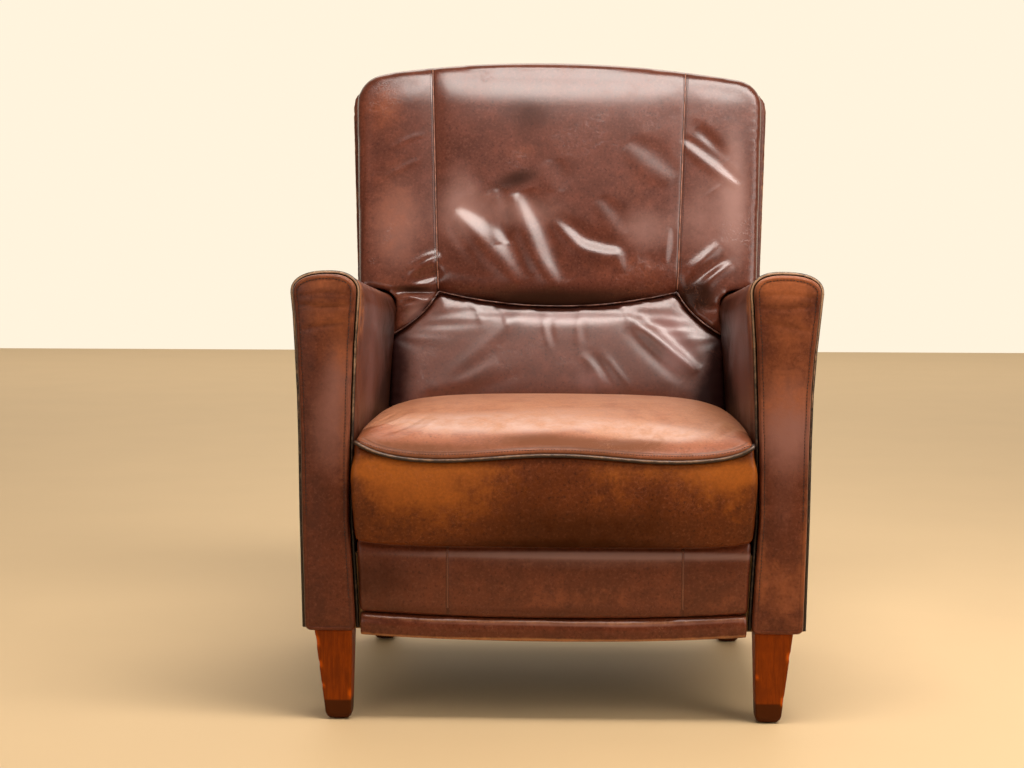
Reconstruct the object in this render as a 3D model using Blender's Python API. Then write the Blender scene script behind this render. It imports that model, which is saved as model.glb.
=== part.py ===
"""Worn leather club chair: hardwood frame, sprung seat, padding, covers and legs.

Metres, +Z up, front towards -Y.  The origin is the bottom centre of the whole chair.
"left" is -X and "right" is +X, as seen by someone who faces the chair.
"""
import math

import bmesh
import bpy

# Overall size
WIDTH = 0.757
DEPTH = 0.850
HEIGHT = 1.005
GAP = 0.0004                    # clearance between pieces that touch

# Levels
FRAME_BOTTOM = 0.1340
SEAT_RAIL_TOP = 0.2450
SEAT_BOTTOM = 0.2580
SEAT_CROWN = 0.4470
ARM_RAIL_TOP = 0.5800
BACK_FRAME_TOP = 0.9550
SHELL_TOP = 0.9980

# Front planes, from the front of the seat back into the chair
SEAT_FRONT = -DEPTH / 2
ARM_FRONT = SEAT_FRONT + 0.015
PANEL_BACK = ARM_FRONT + 0.0145
POST_FRONT = PANEL_BACK + GAP
COVER_FRONT = ARM_FRONT + 0.0218
WOOD = 0.025                    # thickness of the rails

# Arm section: the arm is narrow low down, flares upwards and has a domed top
ARM_CREST_X = 0.323
ARM_CREST_Z = 0.656
ARM_SHOULDER_Z = 0.624
ARM_DOME_POWER = 2.35
ARM_INNER = [(0.2810, FRAME_BOTTOM), (0.2834, 0.183), (0.2900, 0.300), (0.2892, 0.400),
             (0.2870, 0.470), (0.2838, 0.550), (0.2787, ARM_SHOULDER_Z)]
ARM_OUTER = [(WIDTH / 2, ARM_SHOULDER_Z), (0.3757, 0.595), (0.3714, 0.540), (0.3680, 0.480),
             (0.3664, 0.415), (0.3652, 0.300), (0.3617, FRAME_BOTTOM)]
ARM_SIDE_X = 0.3746             # outer side of the arm at the height of its rail
FACING_INSET = 0.0052           # the arm's front panel leaves this much of the piping showing
ARM_DROP = 0.045                # the arm top falls this far on its way to the back
ARM_DROP_START_Z = 0.450
ARM_DROP_END_Y = 0.160
POST_X = (0.3050, 0.3400)       # the posts and arm rails stand between these
FRAME_SPACE_X = 0.3408

# The back leans; its rear face and its padded front face have different slopes
REAR_BASE_Y = 0.235
REAR_SLOPE = (DEPTH / 2 - REAR_BASE_Y) / (SHELL_TOP - FRAME_BOTTOM)
SHELL_THICK = 0.008
BACK_FRAME_DEPTH = 0.040
STRAP_THICK = 0.0022
BACK_FRONT_Y = 0.105            # front face of the back just above the seat
BACK_FRONT_Z = 0.430
BACK_FRONT_SLOPE = 0.342
UPPER_BULGE = 0.010
BACK_TOP = 1.0015
BACK_CROWN = 0.20               # the top edge falls by this times the square of x
BACK_FLARE = 0.0463             # the back widens upwards, sideways metres per metre
BACK_FLARE_Z = 0.660            # the three half widths below are taken at this height
BACK_HALF = 0.3440
WELT_HALF = 0.3500
SHELL_HALF = 0.3647
BACK_CORNER = 0.045             # corner radii of padding, piping and shell
WELT_CORNER = 0.043
SHELL_CORNER = 0.040
CORNER_Z = 0.940                # about where those corners begin

# Seams between the back panels
SEAM_LOW = (0.2055, 0.6080)
SEAM_HIGH_X = 0.2240
SEAM_DIP = 0.0245
WING_TIP = (0.2826, 0.5350)

# Piping
WELT = 0.0030

# Legs: half sizes at the top and at the foot
LEG_TOP_Z = FRAME_BOTTOM - 0.0003
LEG_FOOT_Z = 0.0020
LEG_TIP_Z = 0.0300
LEG_TOP_HALF = 0.0275
LEG_FOOT_HALF = 0.0180
LEG_CHAMFER = 0.0040
FRONT_LEG = {"top": (0.3190, -0.3745), "foot": (0.3128, -0.3765)}
REAR_LEG = {"top": (0.3040, 0.1735), "foot": (0.2980, 0.1750)}
BOLT_RADIUS = 0.0040
BOLT_HOLE_RADIUS = 0.0046
BOLT_Z = (0.1000, 0.1700)
GLIDE_RADIUS = 0.0110

# Corner blocks
BLOCK_TOP = 0.190
BLOCK_REACH_X = (0.225, 0.285)
FRONT_BLOCK_Y = (-0.330, -0.270)
REAR_BLOCK_Y = (0.156, 0.096)

# Seat suspension
SPRING_COUNT = 5
SPRING_SPACING = 0.1050
SPRING_HALF = 0.0250
SPRING_WIRE = 0.0020
SPRING_BENDS = 14
SPRING_SEAT = 0.0003            # clearance between the springs and the rails
DECK_CLEARANCE = 0.0005
STRAP_LEVELS = (0.485, 0.625, 0.735, 0.845)
STRAP_HEIGHT = 0.050


# ---------------------------------------------------------------- basic tools
def clear_scene():
    for obj in list(bpy.data.objects):
        bpy.data.objects.remove(obj, do_unlink=True)


def material(name, colour, roughness, metallic=0.0):
    made = bpy.data.materials.new(name)
    made.use_nodes = True
    shader = made.node_tree.nodes["Principled BSDF"]
    shader.inputs["Base Color"].default_value = (*colour, 1.0)
    shader.inputs["Roughness"].default_value = roughness
    shader.inputs["Metallic"].default_value = metallic
    made.diffuse_color = (*colour, 1.0)
    return made


def add_object(name, mesh_builder, surface):
    """Turn a bmesh into a named object whose faces all point outwards."""
    bmesh.ops.recalc_face_normals(mesh_builder, faces=mesh_builder.faces)
    mesh = bpy.data.meshes.new(name)
    mesh_builder.to_mesh(mesh)
    mesh_builder.free()
    mesh.materials.append(surface)
    obj = bpy.data.objects.new(name, mesh)
    bpy.context.scene.collection.objects.link(obj)
    return obj


def loft(name, loops, surface):
    """Closed solid through loops of 3-D points, capped at both ends."""
    builder = bmesh.new()
    rings = [[builder.verts.new(point) for point in loop] for loop in loops]
    count = len(loops[0])
    for low, high in zip(rings, rings[1:]):
        for i in range(count):
            j = (i + 1) % count
            builder.faces.new((low[i], low[j], high[j], high[i]))
    builder.faces.new(rings[0])
    builder.faces.new(rings[-1])
    return add_object(name, builder, surface)


def box(name, x_range, y_range, z_range, surface):
    corners = [(x_range[0], y_range[0]), (x_range[1], y_range[0]),
               (x_range[1], y_range[1]), (x_range[0], y_range[1])]
    return loft(name, [[(x, y, z) for x, y in corners] for z in z_range], surface)


def prism_x(name, outline, x_range, surface):
    """Extrude a (y, z) outline along X."""
    return loft(name, [[(x, y, z) for y, z in outline] for x in x_range], surface)


def prism_z(name, outline, z_range, surface):
    """Extrude an (x, y) outline along Z."""
    return loft(name, [[(x, y, z) for x, y in outline] for z in z_range], surface)


def cylinder(name, centre, radius, z_range, sides, surface):
    outline = [(centre[0] + radius * math.cos(2 * math.pi * i / sides),
                centre[1] + radius * math.sin(2 * math.pi * i / sides)) for i in range(sides)]
    return prism_z(name, outline, z_range, surface)


def tube(name, points, radius, surface, sides_step=2):
    """Round cord along a list of points, with filled ends."""
    curve = bpy.data.curves.new(name, "CURVE")
    curve.dimensions = "3D"
    curve.bevel_depth = radius
    curve.bevel_resolution = sides_step
    curve.use_fill_caps = True
    spline = curve.splines.new("POLY")
    spline.points.add(len(points) - 1)
    for target, point in zip(spline.points, points):
        target.co = (*point, 1.0)
    curve.materials.append(surface)
    obj = bpy.data.objects.new(name, curve)
    bpy.context.scene.collection.objects.link(obj)
    return obj


def soften(obj, width, segments=2, angle=35):
    bevel = obj.modifiers.new("soft edges", "BEVEL")
    bevel.width = width
    bevel.segments = segments
    bevel.limit_method = "ANGLE"
    bevel.angle_limit = math.radians(angle)
    return obj


def cut(obj, cutter):
    hole = obj.modifiers.new("cut", "BOOLEAN")
    hole.operation = "DIFFERENCE"
    hole.solver = "EXACT"
    hole.object = cutter
    return obj


def as_cutter(obj):
    obj.hide_render = True
    obj.display_type = "WIRE"
    return obj


def sided(points, side):
    """Mirror an outline's first coordinate to the wanted side."""
    return [(side * point[0], *point[1:]) for point in points]


def side_name(side):
    return "left" if side < 0 else "right"


# ---------------------------------------------------------------- curves of the chair
def power_arc(centre, radii, start, end, steps, power):
    """Points on a squared-off ellipse between two angles in degrees."""
    points = []
    for i in range(steps + 1):
        angle = math.radians(start + (end - start) * i / steps)
        cos, sin = math.cos(angle), math.sin(angle)
        x = centre[0] + radii[0] * math.copysign(abs(cos) ** (2 / power), cos)
        z = centre[1] + radii[1] * math.copysign(abs(sin) ** (2 / power), sin)
        points.append((x, z))
    return points


def arm_outline():
    """The arm's section at its front, from low inside over the top to low outside."""
    rise = ARM_CREST_Z - ARM_SHOULDER_Z
    inner_width = ARM_CREST_X - ARM_INNER[-1][0]
    outer_width = ARM_OUTER[0][0] - ARM_CREST_X
    centre = (ARM_CREST_X, ARM_SHOULDER_Z)
    inner = power_arc(centre, (inner_width, rise), 180, 90, 6, ARM_DOME_POWER)
    outer = power_arc(centre, (outer_width, rise), 90, 0, 6, ARM_DOME_POWER)
    return ARM_INNER[:-1] + inner + outer[1:] + ARM_OUTER[1:]


def offset_line(points, distance):
    """The inner points of a line, moved to the left of its direction."""
    moved = []
    for before, point, after in zip(points, points[1:], points[2:]):
        dx, dz = after[0] - before[0], after[1] - before[1]
        length = math.hypot(dx, dz)
        moved.append((point[0] - dz / length * distance, point[1] + dx / length * distance))
    return moved


def arm_drop(z, y):
    """How far a point of the arm's section has sunk at depth y."""
    along = min(1.0, max(0.0, (y - ARM_FRONT) / (ARM_DROP_END_Y - ARM_FRONT)))
    share = max(0.0, (z - ARM_DROP_START_Z) / (ARM_CREST_Z - ARM_DROP_START_Z))
    return ARM_DROP * along * share


def rear_y(z, inset=0.0):
    """Depth of the leaning rear face, or of a plane in front of it."""
    return REAR_BASE_Y + REAR_SLOPE * (z - FRAME_BOTTOM) - inset


def shell_front_y(z):
    return rear_y(z, SHELL_THICK + GAP)


def frame_front_y(z):
    return rear_y(z, SHELL_THICK + GAP + BACK_FRAME_DEPTH)


def pad_rear_y(z):
    return frame_front_y(z) - STRAP_THICK - 2 * GAP


def back_face_y(z, bulge=0.0):
    return BACK_FRONT_Y + BACK_FRONT_SLOPE * (z - BACK_FRONT_Z) - bulge


def crown_z(x, top):
    """Height of the gently crowned top edge of the back."""
    return top - BACK_CROWN * x * x


def flared(half, z):
    """Half width of the back at height z, from its half width at BACK_FLARE_Z."""
    return half + BACK_FLARE * (z - BACK_FLARE_Z)


def back_arch(half, top, radius, steps=14):
    """Right half of the back's top edge, from the side up round the corner to the middle."""
    centre_x = flared(half, CORNER_Z) - radius
    tilt = math.atan(2 * BACK_CROWN * centre_x)
    meet_x = centre_x + radius * math.sin(tilt)
    centre_z = crown_z(meet_x, top) - radius * math.cos(tilt)
    turn = math.pi / 2 - tilt
    corner = [(centre_x + radius * math.cos(turn * i / steps),
               centre_z + radius * math.sin(turn * i / steps)) for i in range(steps + 1)]
    return corner + [(x, crown_z(x, top)) for x in spread(meet_x, 0, 12)[1:]]


def smile_z(x):
    """The curved seam between the lumbar panel and the panel above it."""
    return SEAM_LOW[1] - SEAM_DIP * (1 - (x / SEAM_LOW[0]) ** 2)


def seam_x(z):
    share = (z - SEAM_LOW[1]) / (BACK_TOP - SEAM_LOW[1])
    return SEAM_LOW[0] + (SEAM_HIGH_X - SEAM_LOW[0]) * share


def wing_seam(steps=5):
    """The side seam below the smile, from its corner out to the arm."""
    bend = (SEAM_LOW[0] + 0.020, SEAM_LOW[1] - 0.042)
    points = []
    for i in range(steps + 1):
        t = i / steps
        points.append(tuple((1 - t) ** 2 * a + 2 * t * (1 - t) * b + t * t * c
                            for a, b, c in zip(SEAM_LOW, bend, WING_TIP)))
    return points


def spread(start, end, steps):
    return [start + (end - start) * i / steps for i in range(steps + 1)]


# ---------------------------------------------------------------- wooden frame
def leaning_bar(name, x_range, z_range, depth, surface):
    """A straight bar of the back frame, between the leaning planes."""
    def plane(z, offset):
        return frame_front_y(z) + offset
    outline = [(plane(z_range[0], 0), z_range[0]), (plane(z_range[0], depth), z_range[0]),
               (plane(z_range[1], depth), z_range[1]), (plane(z_range[1], 0), z_range[1])]
    return prism_x(name, outline, x_range, surface)


def build_rails(wood):
    inner = POST_X[0] - GAP
    front = (PANEL_BACK + 0.009, PANEL_BACK + 0.009 + WOOD)
    box("front_seat_rail", (-inner, inner), front, (FRAME_BOTTOM, SEAT_RAIL_TOP), wood)
    for name, z_range, depth in (("rear_seat_rail", (FRAME_BOTTOM, SEAT_RAIL_TOP), WOOD),
                                 ("back_waist_rail", (0.400, 0.450), WOOD),
                                 ("back_top_rail", (0.905, BACK_FRAME_TOP), BACK_FRAME_DEPTH)):
        leaning_bar(name, (-inner, inner), z_range, depth, wood)
    post_back = POST_FRONT + 0.045
    for side in (-1, 1):
        rear = [(frame_front_y(z) - GAP, z) for z in (SEAT_RAIL_TOP, FRAME_BOTTOM)]
        outline = [(post_back + GAP, FRAME_BOTTOM), (post_back + GAP, SEAT_RAIL_TOP), *rear]
        x_range = (side * (POST_X[1] - WOOD), side * POST_X[1])
        prism_x("seat_side_rail_" + side_name(side), outline, x_range, wood)


def build_posts(wood, holes):
    for side in (-1, 1):
        name = side_name(side)
        x_range = (side * POST_X[0], side * POST_X[1])
        y_range = (POST_FRONT, POST_FRONT + 0.045)
        post = box("front_post_" + name, x_range, y_range, (FRAME_BOTTOM, ARM_RAIL_TOP), wood)
        cut(post, holes["front", side])
        leaning_bar("back_post_" + name, x_range, (FRAME_BOTTOM, BACK_FRAME_TOP),
                    BACK_FRAME_DEPTH, wood)
        low = ARM_RAIL_TOP - 0.040
        ends = [(frame_front_y(z) - GAP, z) for z in (ARM_RAIL_TOP, low)]
        start = y_range[1] + GAP
        prism_x("arm_rail_" + name, [(start, low), (start, ARM_RAIL_TOP), *ends], x_range, wood)


def build_corner_blocks(wood, holes):
    """Glued and screwed triangular blocks that stiffen the seat frame's corners."""
    rail_x = POST_X[1] - WOOD - GAP
    post_x = POST_X[0] - GAP
    front_y = PANEL_BACK + 0.009 + WOOD + GAP
    post_y = POST_FRONT + 0.045 + GAP
    rear_y_inner = frame_front_y(FRAME_BOTTOM) - GAP
    near_x, far_x = BLOCK_REACH_X
    front = [(post_x, front_y), (post_x, post_y), (rail_x, post_y), (rail_x, FRONT_BLOCK_Y[1]),
             (far_x, FRONT_BLOCK_Y[1]), (near_x, FRONT_BLOCK_Y[0]), (near_x, front_y)]
    rear = [(rail_x, rear_y_inner), (near_x, rear_y_inner), (near_x, REAR_BLOCK_Y[0]),
            (far_x, REAR_BLOCK_Y[1]), (rail_x, REAR_BLOCK_Y[1])]
    for side in (-1, 1):
        name = side_name(side)
        levels = (FRAME_BOTTOM, BLOCK_TOP)
        prism_z("front_corner_block_" + name, sided(front, side), levels, wood)
        block = prism_z("rear_corner_block_" + name, sided(rear, side), levels, wood)
        cut(block, holes["rear", side])


# ---------------------------------------------------------------- legs
def square(centre, half, z):
    x, y = centre
    return [(x - half, y - half, z), (x + half, y - half, z),
            (x + half, y + half, z), (x - half, y + half, z)]


def along_leg(spec, side, z):
    """Centre and half size of the tapered leg at height z."""
    share = (z - LEG_FOOT_Z) / (LEG_TOP_Z - LEG_FOOT_Z)
    centre = [foot + (top - foot) * share for foot, top in zip(spec["foot"], spec["top"])]
    half = LEG_FOOT_HALF + (LEG_TOP_HALF - LEG_FOOT_HALF) * share
    return (side * centre[0], centre[1]), half


def build_legs(leg_wood, steel, nylon, holes):
    for place, spec in (("front", FRONT_LEG), ("rear", REAR_LEG)):
        for side in (-1, 1):
            name = place + "_leg_" + side_name(side)
            loops = []
            for z, inset in ((LEG_FOOT_Z, LEG_CHAMFER), (LEG_FOOT_Z + LEG_CHAMFER, 0.0),
                             (LEG_TIP_Z, 0.0), (LEG_TOP_Z, 0.0)):
                centre, half = along_leg(spec, side, z)
                loops.append(square(centre, half - inset, z))
            leg = loft(name, loops, leg_wood)
            cut(leg, holes[place, side])
            bolt_at = (side * spec["top"][0], spec["top"][1])
            cylinder(name + "_bolt", bolt_at, BOLT_RADIUS, BOLT_Z, 12, steel)
            glide_at = (side * spec["foot"][0], spec["foot"][1])
            cylinder(name + "_glide", glide_at, GLIDE_RADIUS, (0.0, LEG_FOOT_Z - 0.0003), 20, nylon)


def bolt_holes(surface):
    holes = {}
    for place, spec in (("front", FRONT_LEG), ("rear", REAR_LEG)):
        for side in (-1, 1):
            centre = (side * spec["top"][0], spec["top"][1])
            z_range = (BOLT_Z[0] - GAP, BOLT_Z[1] + GAP)
            name = "hole_" + place + "_" + side_name(side)
            holes[place, side] = as_cutter(cylinder(name, centre, BOLT_HOLE_RADIUS, z_range, 16, surface))
    return holes


# ---------------------------------------------------------------- suspension
def spring_path(x):
    """A zigzag wire: short straights joined by chamfered bends."""
    start = PANEL_BACK + 0.009 + WOOD / 2
    end = frame_front_y(SEAT_RAIL_TOP) + WOOD / 2
    pitch = (end - start) / SPRING_BENDS
    bend = pitch * 0.3
    z = SEAT_RAIL_TOP + SPRING_SEAT + SPRING_WIRE
    points = []
    for i in range(SPRING_BENDS):
        side = 1 if i % 2 == 0 else -1
        y = start + i * pitch
        points.append((x + side * (SPRING_HALF - bend), y, z))
        points.append((x + side * SPRING_HALF, y + bend, z))
        points.append((x + side * SPRING_HALF, y + pitch - bend, z))
        points.append((x + side * (SPRING_HALF - bend), y + pitch, z))
    return points


def build_suspension(steel, elastic, felt):
    for i in range(SPRING_COUNT):
        x = (i - (SPRING_COUNT - 1) / 2) * SPRING_SPACING
        tube("seat_spring_%d" % (i + 1), spring_path(x), SPRING_WIRE, steel, sides_step=1)
    deck_z = SEAT_RAIL_TOP + SPRING_SEAT + 2 * SPRING_WIRE + DECK_CLEARANCE
    deck = box("seat_deck_pad", (-0.280, 0.280), (-0.380, 0.205), (deck_z, SEAT_BOTTOM - GAP), felt)
    soften(deck, 0.002, 1)
    reach = POST_X[1] - 0.005
    for i, level in enumerate(STRAP_LEVELS):
        z_range = (level - STRAP_HEIGHT / 2, level + STRAP_HEIGHT / 2)
        outline = [(frame_front_y(z) - GAP - thick, z) for z, thick in
                   ((z_range[0], STRAP_THICK), (z_range[0], 0), (z_range[1], 0), (z_range[1], STRAP_THICK))]
        prism_x("back_strap_%d" % (i + 1), outline, (-reach, reach), elastic)


# ---------------------------------------------------------------- seat and base covers
def build_seat(seat_leather, leather, cord):
    half = 0.2868
    welt_y = ARM_FRONT - 0.0065
    front_y = welt_y + WELT + GAP
    profile = [(ARM_FRONT - 0.004, SEAT_BOTTOM), (SEAT_FRONT + 0.003, 0.276), (SEAT_FRONT, 0.320),
               (SEAT_FRONT + 0.004, 0.360), (front_y, 0.3785), (front_y, 0.4140), (-0.395, 0.4210),
               (-0.360, 0.4330), (-0.290, 0.4430), (-0.150, SEAT_CROWN), (-0.020, SEAT_CROWN - 0.002),
               (0.080, 0.4360), (0.207, 0.4150), (0.207, SEAT_BOTTOM)]
    seat = prism_x("seat_cushion", profile, (-half, half), seat_leather)
    soften(seat, 0.006, 2, angle=60)

    def welt_z(x):
        return 0.3935 - 0.0095 * math.sin(math.pi * abs(x) / 0.34) ** 2 + 0.0145 * (x / half) ** 8
    points = [(x, welt_y, welt_z(x)) for x in spread(-half + 0.003, half - 0.003, 24)]
    tube("seat_welt", points, WELT, cord)

    low, high = 0.1640, SEAT_BOTTOM - 0.0015
    panel_back = PANEL_BACK + 0.009 - GAP
    panel_front = ARM_FRONT + 0.006
    outline = [(-0.2812, low), (0.2812, low), (0.2850, high), (-0.2850, high)]
    panel = loft("base_front_panel",
                 [[(x, y, z) for x, z in outline] for y in (panel_front, panel_back)], leather)
    soften(panel, 0.004, 2)
    band = [(panel_back, 0.1250), (panel_front + 0.004, 0.1250), (panel_front, 0.1310),
            (panel_front - 0.002, 0.1500), (panel_front + 0.003, 0.1610), (panel_front + 0.009, low - GAP),
            (panel_back, low - GAP)]
    prism_x("base_roll_band", band, (-0.2795, 0.2795), leather)


def build_dust_cover(cloth):
    outline = [(0.270, -0.383), (0.270, -0.340), (0.3345, -0.340), (0.3345, 0.140),
               (0.270, 0.140), (0.270, 0.206)]
    outline += [(-x, y) for x, y in reversed(outline)]
    prism_z("dust_cover", outline, (0.1312, FRAME_BOTTOM - GAP), cloth)


# ---------------------------------------------------------------- arms
def arm_loop(points, y_of, level_z):
    """A section of the arm at depth y_of(height); points at level_z don't sink."""
    loop = []
    for x, z in points:
        sunk = z if abs(z - level_z) < 1e-6 else z - arm_drop(z, y_of(z))
        loop.append((x, y_of(sunk), sunk))
    return loop


def build_arm_pads(leather, frame_space):
    """Padded inner side and top of each arm, hanging over the posts and the arm rail."""
    cavity = (POST_X[0] - 0.0008, FRAME_SPACE_X, ARM_RAIL_TOP + 0.0008)
    low = SEAT_RAIL_TOP + 0.005
    outline = [(0.2872, low)] + [p for p in arm_outline() if p[1] > low + 0.01]
    outline = [p for p in outline if not (p[0] > ARM_CREST_X and p[1] < cavity[2] + 0.012)]
    section = outline + [(ARM_SIDE_X, cavity[2]), (cavity[1], cavity[2]),
                         (cavity[0], cavity[2]), (cavity[0], low)]
    for side in (-1, 1):
        points = sided(section, side)
        loops = [arm_loop(points, y_of, cavity[2]) for y_of in
                 (lambda z: COVER_FRONT, lambda z: ARM_DROP_END_Y, lambda z: shell_front_y(z) - GAP)]
        pad = loft("arm_pad_" + side_name(side), loops, leather)
        cut(pad, frame_space)


def build_outer_arm_covers(leather):
    top = ARM_RAIL_TOP - 0.0005
    outer = [p for p in ARM_OUTER if p[1] < top]
    section = [(FRAME_SPACE_X, FRAME_BOTTOM), (FRAME_SPACE_X, top), (ARM_SIDE_X, top)] + outer
    for side in (-1, 1):
        points = sided(section, side)
        loops = [[(x, COVER_FRONT, z) for x, z in points],
                 [(x, shell_front_y(z) - GAP, z) for x, z in points]]
        loft("outer_arm_cover_" + side_name(side), loops, leather)


def build_arm_fronts(leather, cord):
    seam = offset_line(arm_outline(), -0.0030)
    low = FRAME_BOTTOM + 0.004
    path = [(0.2844, low), *seam, (0.3588, low)]
    y = (PANEL_BACK + COVER_FRONT) / 2
    feet = [(ARM_INNER[0][0] + FACING_INSET, FRAME_BOTTOM), (ARM_OUTER[-1][0] - FACING_INSET, FRAME_BOTTOM)]
    facing = [feet[0], *offset_line(arm_outline(), -FACING_INSET), feet[1]]
    for side in (-1, 1):
        points = sided(facing, side)
        loops = [[(x, depth, z) for x, z in points] for depth in (ARM_FRONT, PANEL_BACK)]
        panel = loft("arm_front_panel_" + side_name(side), loops, leather)
        soften(panel, 0.0035, 2, angle=50)
        tube("arm_welt_" + side_name(side), [(x, y, z) for x, z in sided(path, side)], WELT, cord)


# ---------------------------------------------------------------- back
def back_solid(name, outline, front_of, rear_of, surface):
    loops = [[(x, front_of(z), z) for x, z in outline], [(x, rear_of(z), z) for x, z in outline]]
    return loft(name, loops, surface)


def welt_plane_y(z):
    return shell_front_y(z) - WELT - GAP


def pad_end_y(z):
    return welt_plane_y(z) - WELT - GAP


def build_frame_space(surface):
    """The room that the posts, straps and top rail take out of the padding."""
    top = BACK_FRAME_TOP + 0.0006
    low = 0.100
    outline = [(pad_rear_y(low), low), (rear_y(low), low), (rear_y(top), top), (pad_rear_y(top), top)]
    return as_cutter(prism_x("frame_space", outline, (-FRAME_SPACE_X, FRAME_SPACE_X), surface))


def build_lumbar(leather):
    low = 0.4330
    side = [(0.2868, low), (0.2850, 0.480), (WING_TIP[0], WING_TIP[1] - GAP)]
    seam = [(x - GAP, z - GAP) for x, z in reversed(wing_seam())][1:]
    smile = [(x, smile_z(x) - GAP) for x in spread(SEAM_LOW[0], -SEAM_LOW[0], 12)][1:-1]
    right = side + seam
    outline = right + smile + [(-x, z) for x, z in reversed(right)]
    solid = back_solid("lumbar_cushion", outline, back_face_y, lambda z: pad_rear_y(z) - GAP, leather)
    soften(solid, 0.008, 2, angle=50)


def build_upper_back(leather, frame_space):
    smile = [(x, smile_z(x) + GAP) for x in spread(-SEAM_LOW[0] + GAP, SEAM_LOW[0] - GAP, 12)]
    edge = SEAM_HIGH_X - GAP
    arch = [(x, crown_z(x, BACK_TOP)) for x in spread(edge, -edge, 12)]
    solid = back_solid("upper_back_cushion", smile + arch,
                       lambda z: back_face_y(z, UPPER_BULGE), pad_end_y, leather)
    soften(solid, 0.014, 3, angle=60)
    cut(solid, frame_space)


def arm_top_under_wing():
    """The arm's dome where the wing sits on it, from outside to inside."""
    sunk = [(x, z - arm_drop(z, ARM_DROP_END_Y)) for x, z in arm_outline()]
    lifted = offset_line(sunk, 0.0008)
    under = [p for p in lifted if p[0] < BACK_HALF - 0.004 and p[1] > WING_TIP[1] + 0.010]
    return list(reversed(under))


def build_back_wings(leather, frame_space):
    seam = [(x + GAP, z + GAP) for x, z in reversed(wing_seam())]
    seam[0] = (WING_TIP[0] - GAP, WING_TIP[1] + GAP)
    inner = [(seam_x(z) + GAP, z) for z in spread(0.700, 0.950, 2)]
    inner.append((SEAM_HIGH_X + GAP, crown_z(SEAM_HIGH_X, BACK_TOP)))
    rim = back_arch(BACK_HALF, BACK_TOP, BACK_CORNER)
    arch = [p for p in reversed(rim) if p[0] > SEAM_HIGH_X + 0.008]
    dome = arm_top_under_wing()
    low = dome[0][1] - 0.0025
    outer_low = (flared(BACK_HALF, low), low)
    outline = seam + inner + arch + [outer_low] + dome
    for side in (-1, 1):
        solid = back_solid("back_wing_" + side_name(side), sided(outline, side),
                           lambda z: back_face_y(z, UPPER_BULGE), pad_end_y, leather)
        soften(solid, 0.012, 2, angle=60)
        cut(solid, frame_space)


def build_shell(leather, cord):
    arm_rear = [(x, z - arm_drop(z, ARM_DROP_END_Y)) for x, z in reversed(ARM_OUTER)]
    right = arm_rear + [(0.3740, 0.5905), (SHELL_HALF, 0.6040)]
    right += back_arch(SHELL_HALF, SHELL_TOP, SHELL_CORNER)
    outline = right + [(-x, z) for x, z in reversed(right[:-1])]
    back_solid("back_shell", outline, lambda z: rear_y(z, SHELL_THICK), rear_y, leather)
    low = arm_top_under_wing()[0][1] + WELT
    half_path = [(flared(WELT_HALF, z), z) for z in (low, 0.700, 0.800)]
    half_path += back_arch(WELT_HALF, HEIGHT - WELT, WELT_CORNER)
    path = half_path + [(-x, z) for x, z in reversed(half_path[:-1])]
    tube("back_welt", [(x, welt_plane_y(z), z) for x, z in path], WELT, cord)


# ---------------------------------------------------------------- whole chair
def build_chair():
    clear_scene()
    leather = material("brown_leather", (0.105, 0.036, 0.026), 0.40)
    seat_leather = material("worn_seat_leather", (0.290, 0.098, 0.044), 0.48)
    cord = material("dark_piping", (0.020, 0.012, 0.011), 0.50)
    wood = material("frame_wood", (0.440, 0.300, 0.170), 0.70)
    leg_wood = material("cherry_leg_wood", (0.230, 0.058, 0.018), 0.35)
    steel = material("spring_steel", (0.350, 0.350, 0.360), 0.40, 1.0)
    nylon = material("glide_nylon", (0.080, 0.060, 0.050), 0.50)
    elastic = material("elastic_strap", (0.050, 0.045, 0.040), 0.85)
    felt = material("felt_pad", (0.300, 0.290, 0.270), 0.95)
    cloth = material("dust_cloth", (0.012, 0.012, 0.013), 0.90)

    holes = bolt_holes(steel)
    frame_space = build_frame_space(wood)
    build_rails(wood)
    build_posts(wood, holes)
    build_corner_blocks(wood, holes)
    build_legs(leg_wood, steel, nylon, holes)
    build_suspension(steel, elastic, felt)
    build_seat(seat_leather, leather, cord)
    build_dust_cover(cloth)
    build_arm_pads(leather, frame_space)
    build_outer_arm_covers(leather)
    build_arm_fronts(leather, cord)
    build_lumbar(leather)
    build_upper_back(leather, frame_space)
    build_back_wings(leather, frame_space)
    build_shell(leather, cord)


build_chair()
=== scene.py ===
"""Worn leather club chair: covers, sewing, timber and stage built round the packed frame.

Metres, +Z up, front towards -Y.  "left" is -X and "right" is +X, as seen by someone who
faces the chair.  Run as a script; the panel in the sidebar lists the same steps.
"""
import math

import bmesh
import bpy
import numpy as np
from bpy.props import FloatProperty, FloatVectorProperty, IntProperty, PointerProperty
from mathutils import Matrix, Quaternion, Vector
from mathutils.bvhtree import BVHTree


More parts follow.
